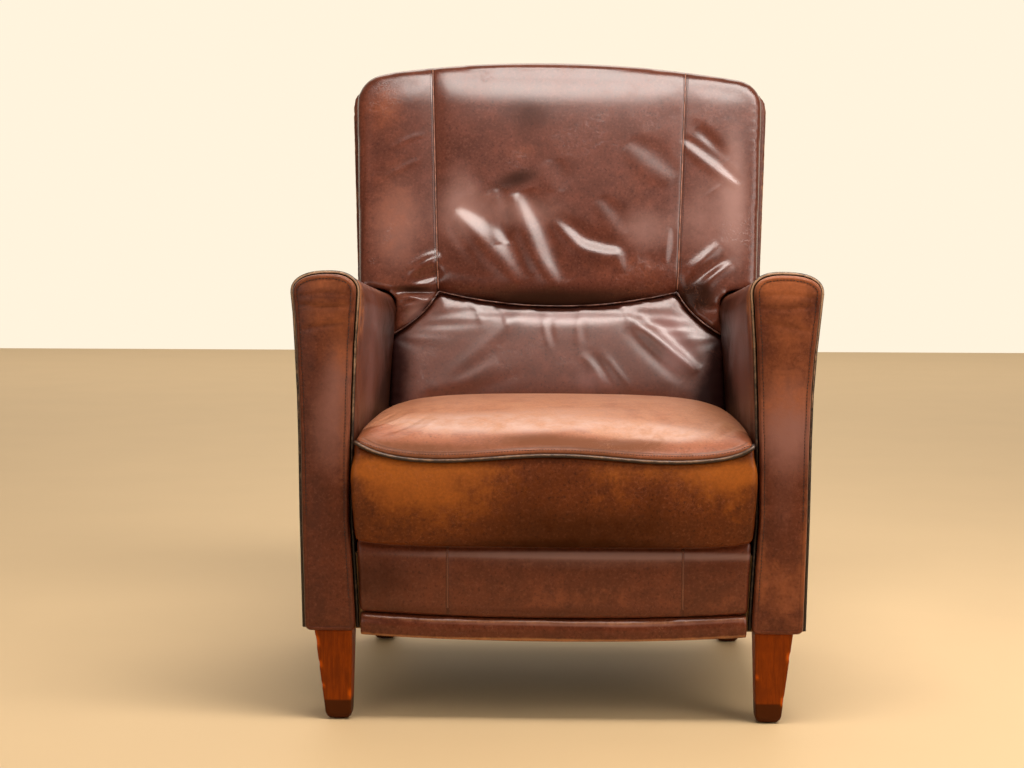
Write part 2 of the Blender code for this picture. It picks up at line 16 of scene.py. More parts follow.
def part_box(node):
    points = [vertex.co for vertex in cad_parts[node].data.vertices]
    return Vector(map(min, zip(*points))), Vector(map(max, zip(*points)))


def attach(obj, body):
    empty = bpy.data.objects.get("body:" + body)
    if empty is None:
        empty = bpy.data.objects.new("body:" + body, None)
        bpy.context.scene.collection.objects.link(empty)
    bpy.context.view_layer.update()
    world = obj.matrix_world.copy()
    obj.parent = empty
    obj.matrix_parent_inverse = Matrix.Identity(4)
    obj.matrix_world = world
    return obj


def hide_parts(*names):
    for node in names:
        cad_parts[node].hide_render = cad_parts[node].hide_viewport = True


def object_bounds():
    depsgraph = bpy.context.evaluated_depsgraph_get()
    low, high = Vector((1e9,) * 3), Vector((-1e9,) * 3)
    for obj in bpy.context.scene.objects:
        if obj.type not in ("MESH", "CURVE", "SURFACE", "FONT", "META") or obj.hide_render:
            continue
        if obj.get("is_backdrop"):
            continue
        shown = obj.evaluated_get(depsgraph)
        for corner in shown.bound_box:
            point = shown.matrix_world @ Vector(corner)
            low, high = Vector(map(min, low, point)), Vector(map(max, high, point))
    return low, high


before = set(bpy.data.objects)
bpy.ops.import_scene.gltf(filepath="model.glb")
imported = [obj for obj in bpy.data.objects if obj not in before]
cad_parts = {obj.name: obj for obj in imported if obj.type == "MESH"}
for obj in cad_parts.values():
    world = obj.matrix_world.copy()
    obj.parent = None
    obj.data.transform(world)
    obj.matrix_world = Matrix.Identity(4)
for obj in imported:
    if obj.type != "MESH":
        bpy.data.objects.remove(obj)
CAD_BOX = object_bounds()

bl_info = {
    "name": "Worn club chair",
    "version": (1, 0, 0),
    "blender": (4, 5, 0),
    "location": "3D Viewport > Sidebar > Club chair",
    "description": "Builds the covers, sewing, timber and stage of a worn leather club chair",
    "category": "Object",
}

# ---------------------------------------------------------------- sizes shared with the frame
ARM_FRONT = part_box("arm_front_panel_left")[0].y
PANEL_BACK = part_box("arm_front_panel_left")[1].y
COVER_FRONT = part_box("arm_pad_left")[0].y
SEAT_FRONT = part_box("seat_cushion")[0].y
SEAT_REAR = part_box("seat_cushion")[1].y
SEAT_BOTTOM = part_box("seat_cushion")[0].z
SEAT_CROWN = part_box("seat_cushion")[1].z
SEAT_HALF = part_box("seat_cushion")[1].x
FRAME_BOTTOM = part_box("arm_front_panel_left")[0].z
TOP_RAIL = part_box("back_top_rail")[1].z
POST_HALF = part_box("back_post_right")[1].x
WELT_RADIUS = 0.0030
SEAM_CORD_RADIUS = 0.0013
REAR_BASE_Y = 0.235
REAR_SLOPE = 0.2199
PAD_END_GAP = 0.0152
BACK_WELT_GAP = 0.0118
CAVITY_GAP = 0.0514
BACK_FRONT_Y = 0.105
BACK_FRONT_Z = 0.430
BACK_FRONT_SLOPE = 0.342
UPPER_BULGE = 0.010
BACK_TOP = 1.0015
BACK_CROWN = 0.20
BACK_FLARE = 0.0463
BACK_FLARE_Z = 0.660
BACK_HALF = 0.3440
WELT_HALF = 0.3500
SHELL_HALF = 0.3647
BACK_CORNER = 0.045
WELT_CORNER = 0.043
CORNER_Z = 0.940
SEAM_LOW = (0.2055, 0.6080)
SEAM_HIGH_X = 0.2240
SEAM_DIP = 0.0245
WING_TIP = (0.2826, 0.5350)
SEAM_GAP = 0.0008
FAR_FROM_SEAM = 0.03
FINE_STITCH = 0.75

ARM_CREST = (0.323, 0.656)
ARM_SHOULDER_Z = 0.624
ARM_DOME_POWER = 2.35
ARM_INNER = [(0.2810, 0.134), (0.2834, 0.183), (0.2900, 0.300), (0.2892, 0.400),
             (0.2870, 0.470), (0.2838, 0.550), (0.2787, 0.624)]
ARM_OUTER = [(0.3785, 0.624), (0.3757, 0.595), (0.3714, 0.540), (0.3680, 0.480),
             (0.3664, 0.415), (0.3652, 0.300), (0.3617, 0.134)]
FACING_INSET = 0.0052
ARM_SPREAD = {-1: (0.0036, 0.0014), 1: (0.0042, 0.0062)}
ARM_DROP = 0.045
ARM_DROP_START_Z = 0.450

LEG_TOP_Z = 0.1337
LEG_FOOT_Z = 0.0020
LEG_TIP_Z = 0.0300
LEG_TIP_BLUR = 0.0012
LEG_FOOT_ROUND = 0.0040
LEG_TOP_HALF = 0.0275
LEG_FOOT_HALF = 0.0180
LEG_PLACES = {"front": ((0.3190, -0.3745), (0.3128, -0.3765)),
              "rear": ((0.3040, 0.1735), (0.2980, 0.1750))}


def linear(hex_colour):
    """An sRGB hex colour as the linear red, green and blue that the shader works in."""
    parts = [int(hex_colour[i:i + 2], 16) / 255 for i in (0, 2, 4)]
    return tuple(c / 12.92 if c <= 0.04045 else ((c + 0.055) / 1.055) ** 2.4 for c in parts)


# ---------------------------------------------------------------- settings
def colour_setting(name, hex_colour, text):
    return FloatVectorProperty(name=name, description=text, subtype="COLOR", size=3,
                               min=0.0, max=1.0, default=linear(hex_colour))


def length_setting(name, text, default, low, high, **more):
    return FloatProperty(name=name, description=text, default=default, min=low, max=high,
                         unit="LENGTH", **more)


def number_setting(name, text, default, high, **more):
    return FloatProperty(name=name, description=text, default=default, min=0.0, max=high, **more)


class ClubChairLeather(bpy.types.PropertyGroup):
    """Colours and surface sizes of the hides."""
    back_hide: colour_setting("Back hide", "5a2c1d", "Dye of the backrest and wings")
    seat_top: colour_setting("Seat top", "a05a3a", "Rubbed-through colour of the seat")
    seat_box: colour_setting("Seat front", "5b2804", "Dye of the seat's front boxing")
    arm_hide: colour_setting("Arm hide", "5a2a17", "Dye of the arms and base")
    rubbed: colour_setting("Rubbed hide", "8b4b2d", "Where the dye has worn off")
    # Tints greasy dirt and also the painted shade in creases, gaps and under overhangs
    grime: colour_setting("Grime", "2b150d", "Dark handled and greasy places")
    pore_spacing: length_setting("Pore spacing", "Distance between hair pores",
                                 0.0016, 0.0005, 0.005)
    grain_height: length_setting("Grain height", "Relief of the milled grain",
                                 0.00022, 0.0, 0.002, precision=5)


class ClubChairSewing(bpy.types.PropertyGroup):
    """Stitches, seams and stuffing."""
    stitch_length: length_setting("Stitch length", "Thread seen per stitch", 0.0036, 0.001, 0.01)
    stitch_pitch: length_setting("Stitch pitch", "Distance from stitch to stitch",
                                 0.0056, 0.002, 0.02)
    thread_radius: length_setting("Thread radius", "Half the thread's thickness",
                                  0.0006, 0.0002, 0.002)
    voxel: length_setting("Cover mesh size", "Mesh size of the padded covers",
                          0.0060, 0.003, 0.02)
    pressure: number_setting("Stuffing pressure", "Push of the stuffing", 4.0, 20.0)
    frames: IntProperty(name="Settling frames", description="Steps the stuffing settles for",
                        default=20, min=2, max=60)


class ClubChairTimber(bpy.types.PropertyGroup):
    """The turned-out timber of legs and frame."""
    leg_colour: colour_setting("Leg stain", "793100", "Cherry stain on the legs")
    frame_colour: colour_setting("Frame timber", "b08a5c", "Bare beech of the hidden frame")
    grain_width: length_setting("Grain width", "Width of a growth ring", 0.0045, 0.001, 0.02)
    edge_round: length_setting("Edge rounding", "Worn radius of the leg edges",
                               0.0022, 0.0005, 0.006)


class ClubChairStage(bpy.types.PropertyGroup):
    """Floor, lamps and camera."""
    floor_size: length_setting("Floor size", "Side of the floor", 16.0, 3.0, 60.0)
    floor_colour: colour_setting("Floor", "d4b78a", "Plain pale floor")
    key_power: number_setting("Key lamp", "Power of the overhead soft lamp", 62.0, 2000.0,
                              unit="POWER")
    room_light: number_setting("Room light", "Glow of the room before the chair", 0.18, 5.0)
    wall_light: number_setting("Wall light", "Glow of the wall behind the chair", 1.10, 5.0)
    lens: FloatProperty(name="Lens", description="Focal length of the camera",
                        default=67.92, min=20.0, max=200.0, subtype="DISTANCE_CAMERA")


# ---------------------------------------------------------------- curves of the chair
def dome_arc(half_width, start, end, steps):
    """Points on the squared-off ellipse of an arm's top between two angles in degrees."""
    rise = ARM_CREST[1] - ARM_SHOULDER_Z
    points = []
    for angle in spread(start, end, steps):
        cos, sin = math.cos(math.radians(angle)), math.sin(math.radians(angle))
        points.append((
            ARM_CREST[0] + half_width * math.copysign(abs(cos) ** (2 / ARM_DOME_POWER), cos),
            ARM_SHOULDER_Z + rise * math.copysign(abs(sin) ** (2 / ARM_DOME_POWER), sin)))
    return points


def arm_outline(steps):
    """The arm's section at its front, from low inside over the top to low outside."""
    inner = dome_arc(ARM_CREST[0] - ARM_INNER[-1][0], 180, 90, steps)
    outer = dome_arc(ARM_OUTER[0][0] - ARM_CREST[0], 90, 0, steps)
    return ARM_INNER[:-1] + inner + outer[1:] + ARM_OUTER[1:]


def offset_line(points, distance):
    """A line moved sideways, to the left of its direction."""
    moved = []
    ends = [points[0], *points, points[-1]]
    for before, point, after in zip(ends, points, ends[2:]):
        dx, dz = after[0] - before[0], after[1] - before[1]
        length = math.hypot(dx, dz)
        moved.append((point[0] - dz / length * distance, point[1] + dx / length * distance))
    return moved


def arm_drop(z):
    """How far a point of the arm's section has sunk where the arm meets the back."""
    return ARM_DROP * max(0.0, (z - ARM_DROP_START_Z) / (ARM_CREST[1] - ARM_DROP_START_Z))


def rear_y(z):
    return REAR_BASE_Y + REAR_SLOPE * (z - FRAME_BOTTOM)


def pad_end_y(z):
    """Where the padding ends at the piping in front of the outer shell."""
    return rear_y(z) - PAD_END_GAP


def cavity_y(z):
    """Front of the room that the back frame and its straps take up."""
    return rear_y(z) - CAVITY_GAP


def back_face_y(z, bulge=0.0):
    return BACK_FRONT_Y + BACK_FRONT_SLOPE * (z - BACK_FRONT_Z) - bulge


def pad_depth(points):
    """How far points lie behind the leaning plane of the back's front."""
    return points[:, 1] - back_face_y(points[:, 2])


def crown_z(x, top):
    """Height of the gently crowned top edge of the back."""
    return top - BACK_CROWN * x * x


def flared(half, z):
    """Half width of the back at height z, from its half width at BACK_FLARE_Z."""
    return half + BACK_FLARE * (z - BACK_FLARE_Z)


def back_arch(half, top, radius):
    """Right half of the back's top edge, from the side up round the corner to the middle."""
    centre_x = flared(half, CORNER_Z) - radius
    tilt = math.atan(2 * BACK_CROWN * centre_x)
    meet_x = centre_x + radius * math.sin(tilt)
    centre_z = crown_z(meet_x, top) - radius * math.cos(tilt)
    corner = [(centre_x + radius * math.cos(turn), centre_z + radius * math.sin(turn))
              for turn in spread(0, math.pi / 2 - tilt, 14)]
    return corner + [(x, crown_z(x, top)) for x in spread(meet_x, 0, 12)[1:]]


def smile_z(x):
    """The curved seam between the lumbar panel and the panel above it."""
    return SEAM_LOW[1] - SEAM_DIP * (1 - (x / SEAM_LOW[0]) ** 2)


def seam_x(z):
    share = (z - SEAM_LOW[1]) / (BACK_TOP - SEAM_LOW[1])
    return SEAM_LOW[0] + (SEAM_HIGH_X - SEAM_LOW[0]) * share


def wing_seam():
    """The side seam below the smile, from its corner out to the arm."""
    bend = (SEAM_LOW[0] + 0.020, SEAM_LOW[1] - 0.042)
    return [tuple((1 - t) ** 2 * a + 2 * t * (1 - t) * b + t * t * c
                  for a, b, c in zip(SEAM_LOW, bend, WING_TIP))
            for t in spread(0, 1, 8)]


def welt_z(x):
    """Height of the seat's front piping, which sags either side of the middle."""
    wave = math.sin(math.pi * abs(x) / 0.34) ** 2
    height, power = (0.0210, 9) if x < 0 else (0.0170, 13)
    return 0.3928 - 0.0088 * wave + height * (abs(x) / SEAT_HALF) ** power


def spread(start, end, steps):
    return [start + (end - start) * i / steps for i in range(steps + 1)]


def smooth_line(points):
    """A smooth curve through a few points."""
    pts = [np.array(p, float) for p in points]
    pts = [2 * pts[0] - pts[1], *pts, 2 * pts[-1] - pts[-2]]
    line = []
    for a, b, c, d in zip(pts, pts[1:], pts[2:], pts[3:]):
        for t in np.linspace(0, 1, 8, endpoint=False):
            line.append(0.5 * (2 * b + (c - a) * t + (2 * a - 5 * b + 4 * c - d) * t * t
                               + (3 * b - a - 3 * c + d) * t ** 3))
    line.append(pts[-2])
    return np.array(line)


def resample(points, pitch):
    """Points at an even pitch along a line, with the direction at each."""
    line = np.array(points, float)
    steps = np.linalg.norm(np.diff(line, axis=0), axis=1)
    reach = np.concatenate([[0.0], np.cumsum(steps)])
    at = np.arange(pitch / 2, reach[-1], pitch)

    def taken(distances):
        return np.stack([np.interp(distances, reach, line[:, k])
                         for k in range(line.shape[1])], axis=1)
    return taken(at), taken(at + pitch / 4) - taken(at - pitch / 4)


def line_distance(flat, line):
    """Signed distance of many flat points from a line, and how far along it each lies."""
    line = np.array(line, float)
    best = np.full(len(flat), 1e9)
    signed = np.zeros(len(flat))
    along = np.zeros(len(flat))
    count = len(line) - 1
    for i in range(count):
        a, step = line[i], line[i + 1] - line[i]
        t = np.clip(((flat - a) @ step) / max(step @ step, 1e-12), 0, 1)
        gap = flat - a - t[:, None] * step
        far = np.hypot(gap[:, 0], gap[:, 1])
        nearer = far < best
        side = np.sign(step[0] * gap[:, 1] - step[1] * gap[:, 0])
        best = np.where(nearer, far, best)
        signed = np.where(nearer, far * np.where(side == 0, 1, side), signed)
        along = np.where(nearer, (i + t) / count, along)
    return signed, along


def ease(value, low, high):
    """0 below low, 1 above high and smooth between them."""
    t = np.clip((value - low) / (high - low), 0, 1)
    return t * t * (3 - 2 * t)


def skewed_top(points):
    """The back's top edge as use has left it: a little higher on the left than on the right."""
    x = points[:, 0]
    lift = 0.0073 - 0.0175 * x - 0.05 * x * x - 0.0060 * np.clip((-x - 0.270) / 0.08, 0, 1) ** 2
    return points + (lift * ease(points[:, 2], 0.80, 0.96))[:, None] * np.array((0.0, 0.0, 1.0))


def spread_arm(points, side):
    """The outer side of an arm pushed outwards by its stuffing, most at the right shoulder."""
    low, high = ARM_SPREAD[side]
    push = low + (high - low) * ease(points[:, 2], 0.50, 0.60)
    reach = ease(np.abs(points[:, 0]), 0.300, 0.365)
    return points + (side * push * reach)[:, None] * np.array((1.0, 0.0, 0.0))


# ---------------------------------------------------------------- mesh tools
def add_piece(name, builder, surfaces=()):
    """Turn a bmesh into an object in the row frame."""
    mesh = bpy.data.meshes.new(name)
    builder.to_mesh(mesh)
    builder.free()
    for surface in surfaces:
        mesh.materials.append(surface)
    piece = bpy.data.objects.new(name, mesh)
    bpy.context.scene.collection.objects.link(piece)
    return piece


def outline_face(builder, points):
    return builder.faces.new([builder.verts.new(p) for p in points])


def pull_face(builder, face, step):
    """Extrude a face into a solid and return the vertices of its new end."""
    made = bmesh.ops.extrude_face_region(builder, geom=[face])
    fresh = [v for v in made["geom"] if isinstance(v, bmesh.types.BMVert)]
    bmesh.ops.translate(builder, verts=fresh, vec=step)
    bmesh.ops.recalc_face_normals(builder, faces=builder.faces)
    return fresh


def round_off(builder, geom, offset, segments=3, affect="EDGES"):
    bmesh.ops.bevel(builder, geom=geom, offset=offset, segments=segments, profile=0.5,
                    affect=affect, material=-1)


def copy_node(name):
    """A bmesh of one CAD node's shape with its loose triangles joined up."""
    builder = bmesh.new()
    builder.from_mesh(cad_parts[name].data)
    bmesh.ops.remove_doubles(builder, verts=builder.verts, dist=1e-5)
    bmesh.ops.recalc_face_normals(builder, faces=builder.faces)
    return builder


def bake(piece):
    """Put the result of a piece's modifiers into its mesh."""
    seen = piece.evaluated_get(bpy.context.evaluated_depsgraph_get())
    mesh = bpy.data.meshes.new_from_object(seen)
    piece.modifiers.clear()
    old = piece.data
    piece.data = mesh
    bpy.data.meshes.remove(old)
    mesh.name = piece.name
    return piece


def remesh(piece, voxel, smooth=4):
    """An even mesh over a blank, slightly relaxed so that its edges round off."""
    skin = piece.modifiers.new("even mesh", "REMESH")
    skin.mode = "VOXEL"
    skin.voxel_size = voxel
    skin.use_smooth_shade = True
    bake(piece)
    relax(piece, smooth)


def taut_cover(name, node, rounding, voxel):
    """An even mesh on the shape of one CAD node whose sharp edges are rounded."""
    builder = copy_node(node)
    sharp = [e for e in builder.edges if len(e.link_faces) == 2 and e.calc_face_angle() > 0.9]
    round_off(builder, sharp, rounding)
    shape = BVHTree.FromBMesh(builder)
    cover = add_piece(name, builder)
    remesh(cover, voxel, 2)
    move_points(cover, np.array([shape.find_nearest(v.co)[0] for v in cover.data.vertices]))
    relax(cover, 1)
    return cover


def relax(piece, rounds):
    builder = bmesh.new()
    builder.from_mesh(piece.data)
    for _ in range(rounds):
        bmesh.ops.smooth_vert(builder, verts=builder.verts[:], factor=0.5, use_axis_x=True,
                              use_axis_y=True, use_axis_z=True)
    builder.to_mesh(piece.data)
    builder.free()


def refine(piece):
    skin = piece.modifiers.new("finer", "SUBSURF")
    skin.levels = skin.render_levels = 1
    bake(piece)
    smooth_shade(piece)


def smooth_shade(piece):
    piece.data.polygons.foreach_set("use_smooth", [True] * len(piece.data.polygons))


def points_of(piece, field="co"):
    flat = np.empty(len(piece.data.vertices) * 3, np.float32)
    piece.data.vertices.foreach_get(field, flat)
    return flat.reshape(-1, 3).astype(float)


def normals_of(piece):
    return points_of(piece, "normal")


def move_points(piece, points):
    piece.data.vertices.foreach_set("co", points.astype(np.float32).ravel())
    piece.data.update()


def mark(piece, name, values):
    """Store a number for every vertex, or the same one for all, for the shader."""
    layer = piece.data.attributes.get(name) or piece.data.attributes.new(name, "FLOAT", "POINT")
    layer.data.foreach_set("value", np.full(len(layer.data), values, np.float32))


def paint(piece, flat, **fields):
    """Store fields of soft spots per vertex, each under its own name."""
    for name, spots in fields.items():
        mark(piece, name, blobs(flat, spots))


def settle(piece, sewn, sewing, cap, share=1.0):
    """Stuff a cover: cloth under pressure, held where it is sewn, moved no more than cap."""
    before = points_of(piece)
    held = piece.vertex_groups.new(name="sewn")
    for weight in (0.25, 0.5, 0.75, 1.0):
        chosen = np.nonzero(np.abs(sewn - weight) <= 0.125)[0]
        held.add([int(i) for i in chosen], weight, "REPLACE")
    cloth = piece.modifiers.new("stuffing", "CLOTH")
    cloth.settings.use_pressure = True
    cloth.settings.uniform_pressure_force = sewing.pressure * share
    cloth.settings.vertex_group_mass = "sewn"
    cloth.settings.tension_stiffness = cloth.settings.compression_stiffness = 25
    cloth.settings.shear_stiffness = 12
    cloth.settings.bending_stiffness = 3
    cloth.settings.effector_weights.gravity = 0
    cloth.collision_settings.use_collision = False
    cloth.point_cache.frame_start, cloth.point_cache.frame_end = 1, sewing.frames
    scene = bpy.context.scene
    for step in range(1, sewing.frames + 1):
        scene.frame_set(step)
    bake(piece)
    scene.frame_set(1)
    step = points_of(piece) - before
    size = np.linalg.norm(step, axis=1, keepdims=True)
    move_points(piece, before + step * (cap * np.tanh(size / cap) / np.maximum(size, 1e-9)))
    piece.vertex_groups.clear()


def press(piece, flat, push, folds, slopes=()):
    """Raise and sink soft folds; each is a line, a height and a half width.

    A fold is a ridge, or a valley where its height is negative.  A slope falls from a crest
    on the right of its line to a hollow on the left, as slack leather does between creases.
    """
    points = points_of(piece)
    for line, height, width in folds:
        away, along = line_distance(flat, smooth_line(line))
        ends = np.clip(np.sin(np.pi * np.clip(along, 0.02, 0.98)), 0, 1) ** 0.6
        points += push * (height * np.exp(-(away / width) ** 2) * ends)[:, None]
    for line, height, width in slopes:
        away, along = line_distance(flat, smooth_line(line))
        ends = np.clip(np.sin(np.pi * np.clip(along, 0, 1)), 0, 1) ** 0.5
        share = away / (width * (0.55 + 0.45 * np.sin(np.pi * along)))
        beyond = np.clip(np.abs(share) - 1, 0, None)
        across = -np.sin(np.pi / 2 * np.clip(share, -1, 1)) * np.exp(-beyond ** 2)
        points += push * (height * across * ends)[:, None]
    move_points(piece, points)


def blobs(flat, spots):
    """Soft spots: centre, half sizes, turn in degrees and strength."""
    total = np.zeros(len(flat))
    for centre, radii, turn, strength in spots:
        cos, sin = math.cos(math.radians(turn)), math.sin(math.radians(turn))
        gap = flat - np.array(centre)
        a = (gap[:, 0] * cos + gap[:, 1] * sin) / radii[0]
        b = (gap[:, 1] * cos - gap[:, 0] * sin) / radii[1]
        total += strength * np.exp(-(a * a + b * b))
    return np.clip(total, 0, 1.2)


def round_cord(name, points, radius, surface, body_slot):
    """Piping: a closed round cord along a line, as a mesh."""
    curve = bpy.data.curves.new(name, "CURVE")
    curve.dimensions = "3D"
    curve.bevel_depth = radius
    curve.bevel_resolution = 3
    curve.use_fill_caps = True
    spline = curve.splines.new("POLY")
    spline.points.add(len(points) - 1)
    for target, point in zip(spline.points, points):
        target.co = (*point, 1.0)
    loose = bpy.data.objects.new(name + "_line", curve)
    bpy.context.scene.collection.objects.link(loose)
    mesh = bpy.data.meshes.new_from_object(loose.evaluated_get(
        bpy.context.evaluated_depsgraph_get()))
    bpy.data.objects.remove(loose)
    bpy.data.curves.remove(curve)
    builder = bmesh.new()
    builder.from_mesh(mesh)
    bpy.data.meshes.remove(mesh)
    bmesh.ops.remove_doubles(builder, verts=builder.verts, dist=1e-6)
    bmesh.ops.recalc_face_normals(builder, faces=builder.faces)
    piece = add_piece(name, builder, [surface])
    smooth_shade(piece)
    return own(piece, body_slot)


def dress(piece, *surfaces):
    """Give a finished mesh its materials and smooth shading."""
    piece.data.materials.clear()
    for surface in surfaces:
        piece.data.materials.append(surface)
    smooth_shade(piece)


def own(piece, slot, *replaced):
    """Fix a finished piece to the chair and hide the CAD parts that it replaces."""
    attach(piece, "root")
    if replaced:
        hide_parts(*replaced)
    return piece


def dropped(line, covers, lift):
    """A line of (x, z) points laid on the front of some covers and lifted off them a little."""
    seen = bpy.context.evaluated_depsgraph_get()
    trees = [BVHTree.FromObject(cover, seen) for cover in covers]
    points = []
    for x, z in line:
        hits = [tree.ray_cast(Vector((x, -1.0, z)), Vector((0.0, 1.0, 0.0)))[0] for tree in trees]
        depths = [hit.y for hit in hits if hit is not None]
        if depths:
            points.append((x, min(depths), z))
    depth = np.array([p[1] for p in points])
    padded = np.concatenate([depth[:1], depth[:1], depth, depth[-1:], depth[-1:]])
    even = np.convolve(padded, np.ones(5) / 5, "valid")
    return [(x, float(y) - lift, z) for (x, _, z), y in zip(points, even)]


def stitch_rows(name, cover, rows, sewing, surface, slot, sink=0.25, fine=FINE_STITCH):
    """Rows of thread stitches laid on a cover; each row is a line of points near it.

    The thread sinks in by a share of its radius; fine scales the stitches' length and pitch.
    """
    tree = BVHTree.FromObject(cover, bpy.context.evaluated_depsgraph_get())
    builder = bmesh.new()
    half = sewing.stitch_length * fine / 2
    radius = sewing.thread_radius
    for row in rows:
        places, steps = resample(row, sewing.stitch_pitch * fine)
        for place, step in zip(places, steps):
            spot, normal, _, _ = tree.find_nearest(Vector(place))
            along = Vector(step)
            along = (along - normal * along.dot(normal)).normalized()
            across = normal.cross(along)
            turn = Matrix((along, across, normal)).transposed().to_4x4()
            at = Matrix.Translation(spot + normal * radius * sink)
            bmesh.ops.create_uvsphere(builder, u_segments=6, v_segments=4, radius=1.0,
                                      matrix=at @ turn @ Matrix.Rotation(math.pi / 2, 4, "Y")
                                      @ Matrix.Diagonal((radius, radius, half, 1)))
    piece = add_piece(name, builder, [surface])
    smooth_shade(piece)
    own(piece, slot)


# ---------------------------------------------------------------- finishes
# width of the lumps and number of octaves of the hide's three scales of noise
HIDE_NOISE = {"cloud": (0.095, 2.6), "mottle": (0.021, 3.6), "fleck": (0.0042, 4.0)}
CREASE_SIZE = 0.019
PORE_GAIN = 250
RELIEF_UNIT = 0.001


def set_inputs(tree, node, inputs):
    """Fill a shader node's inputs; each is a number, a colour or another node's output."""
    for key, value in inputs.items():
        if isinstance(value, bpy.types.NodeSocket):
            tree.links.new(value, node.inputs[key])
        else:
            node.inputs[key].default_value = value


def add_node(tree, kind, inputs=None, **settings):
    made = tree.nodes.new("ShaderNode" + kind)
    for key, value in settings.items():
        setattr(made, key, value)
    set_inputs(tree, made, inputs or {})
    return made


def object_place(tree):
    return add_node(tree, "TexCoord").outputs["Object"]


def add_noise(tree, place, size, detail, roughness=0.5, distortion=0.0):
    """Noise whose lumps are about size metres wide."""
    return add_node(tree, "TexNoise", {
        "Vector": place, "Scale": 1 / size, "Detail": detail, "Roughness": roughness,
        "Distortion": distortion}).outputs["Fac"]


def add_math(tree, operation, *terms):
    return add_node(tree, "Math", dict(enumerate(terms)), operation=operation).outputs[0]


def add_ramp(tree, value, low, high, most=1.0, kind="SMOOTHSTEP"):
    """0 where the value is low and most where it is high."""
    return add_node(tree, "MapRange", {
        "Value": value, "From Min": low, "From Max": high, "To Max": most},
        interpolation_type=kind).outputs[0]


def add_mix(tree, share, under, over):
    """The colour under turned into the colour over by a share."""
    return add_node(tree, "Mix", {0: share, 6: under, 7: over}, data_type="RGBA").outputs[2]


def add_bump(tree, height, distance, strength):
    return add_node(tree, "Bump", {
        "Height": height, "Distance": distance, "Strength": strength}).outputs["Normal"]


def painted(tree, label):
    """A field of numbers that the mesh stores per vertex."""
    return add_node(tree, "Attribute", attribute_name=label).outputs["Fac"]


def new_finish(name):
    finish = bpy.data.materials.new(name)
    finish.use_nodes = True
    return finish, finish.node_tree, finish.node_tree.nodes["Principled BSDF"]


def shade(colour, factor):
    return (*(min(1.0, c * factor) for c in colour), 1.0)


def blend(a, b, share):
    return tuple(x + (y - x) * share for x, y in zip(a, b))


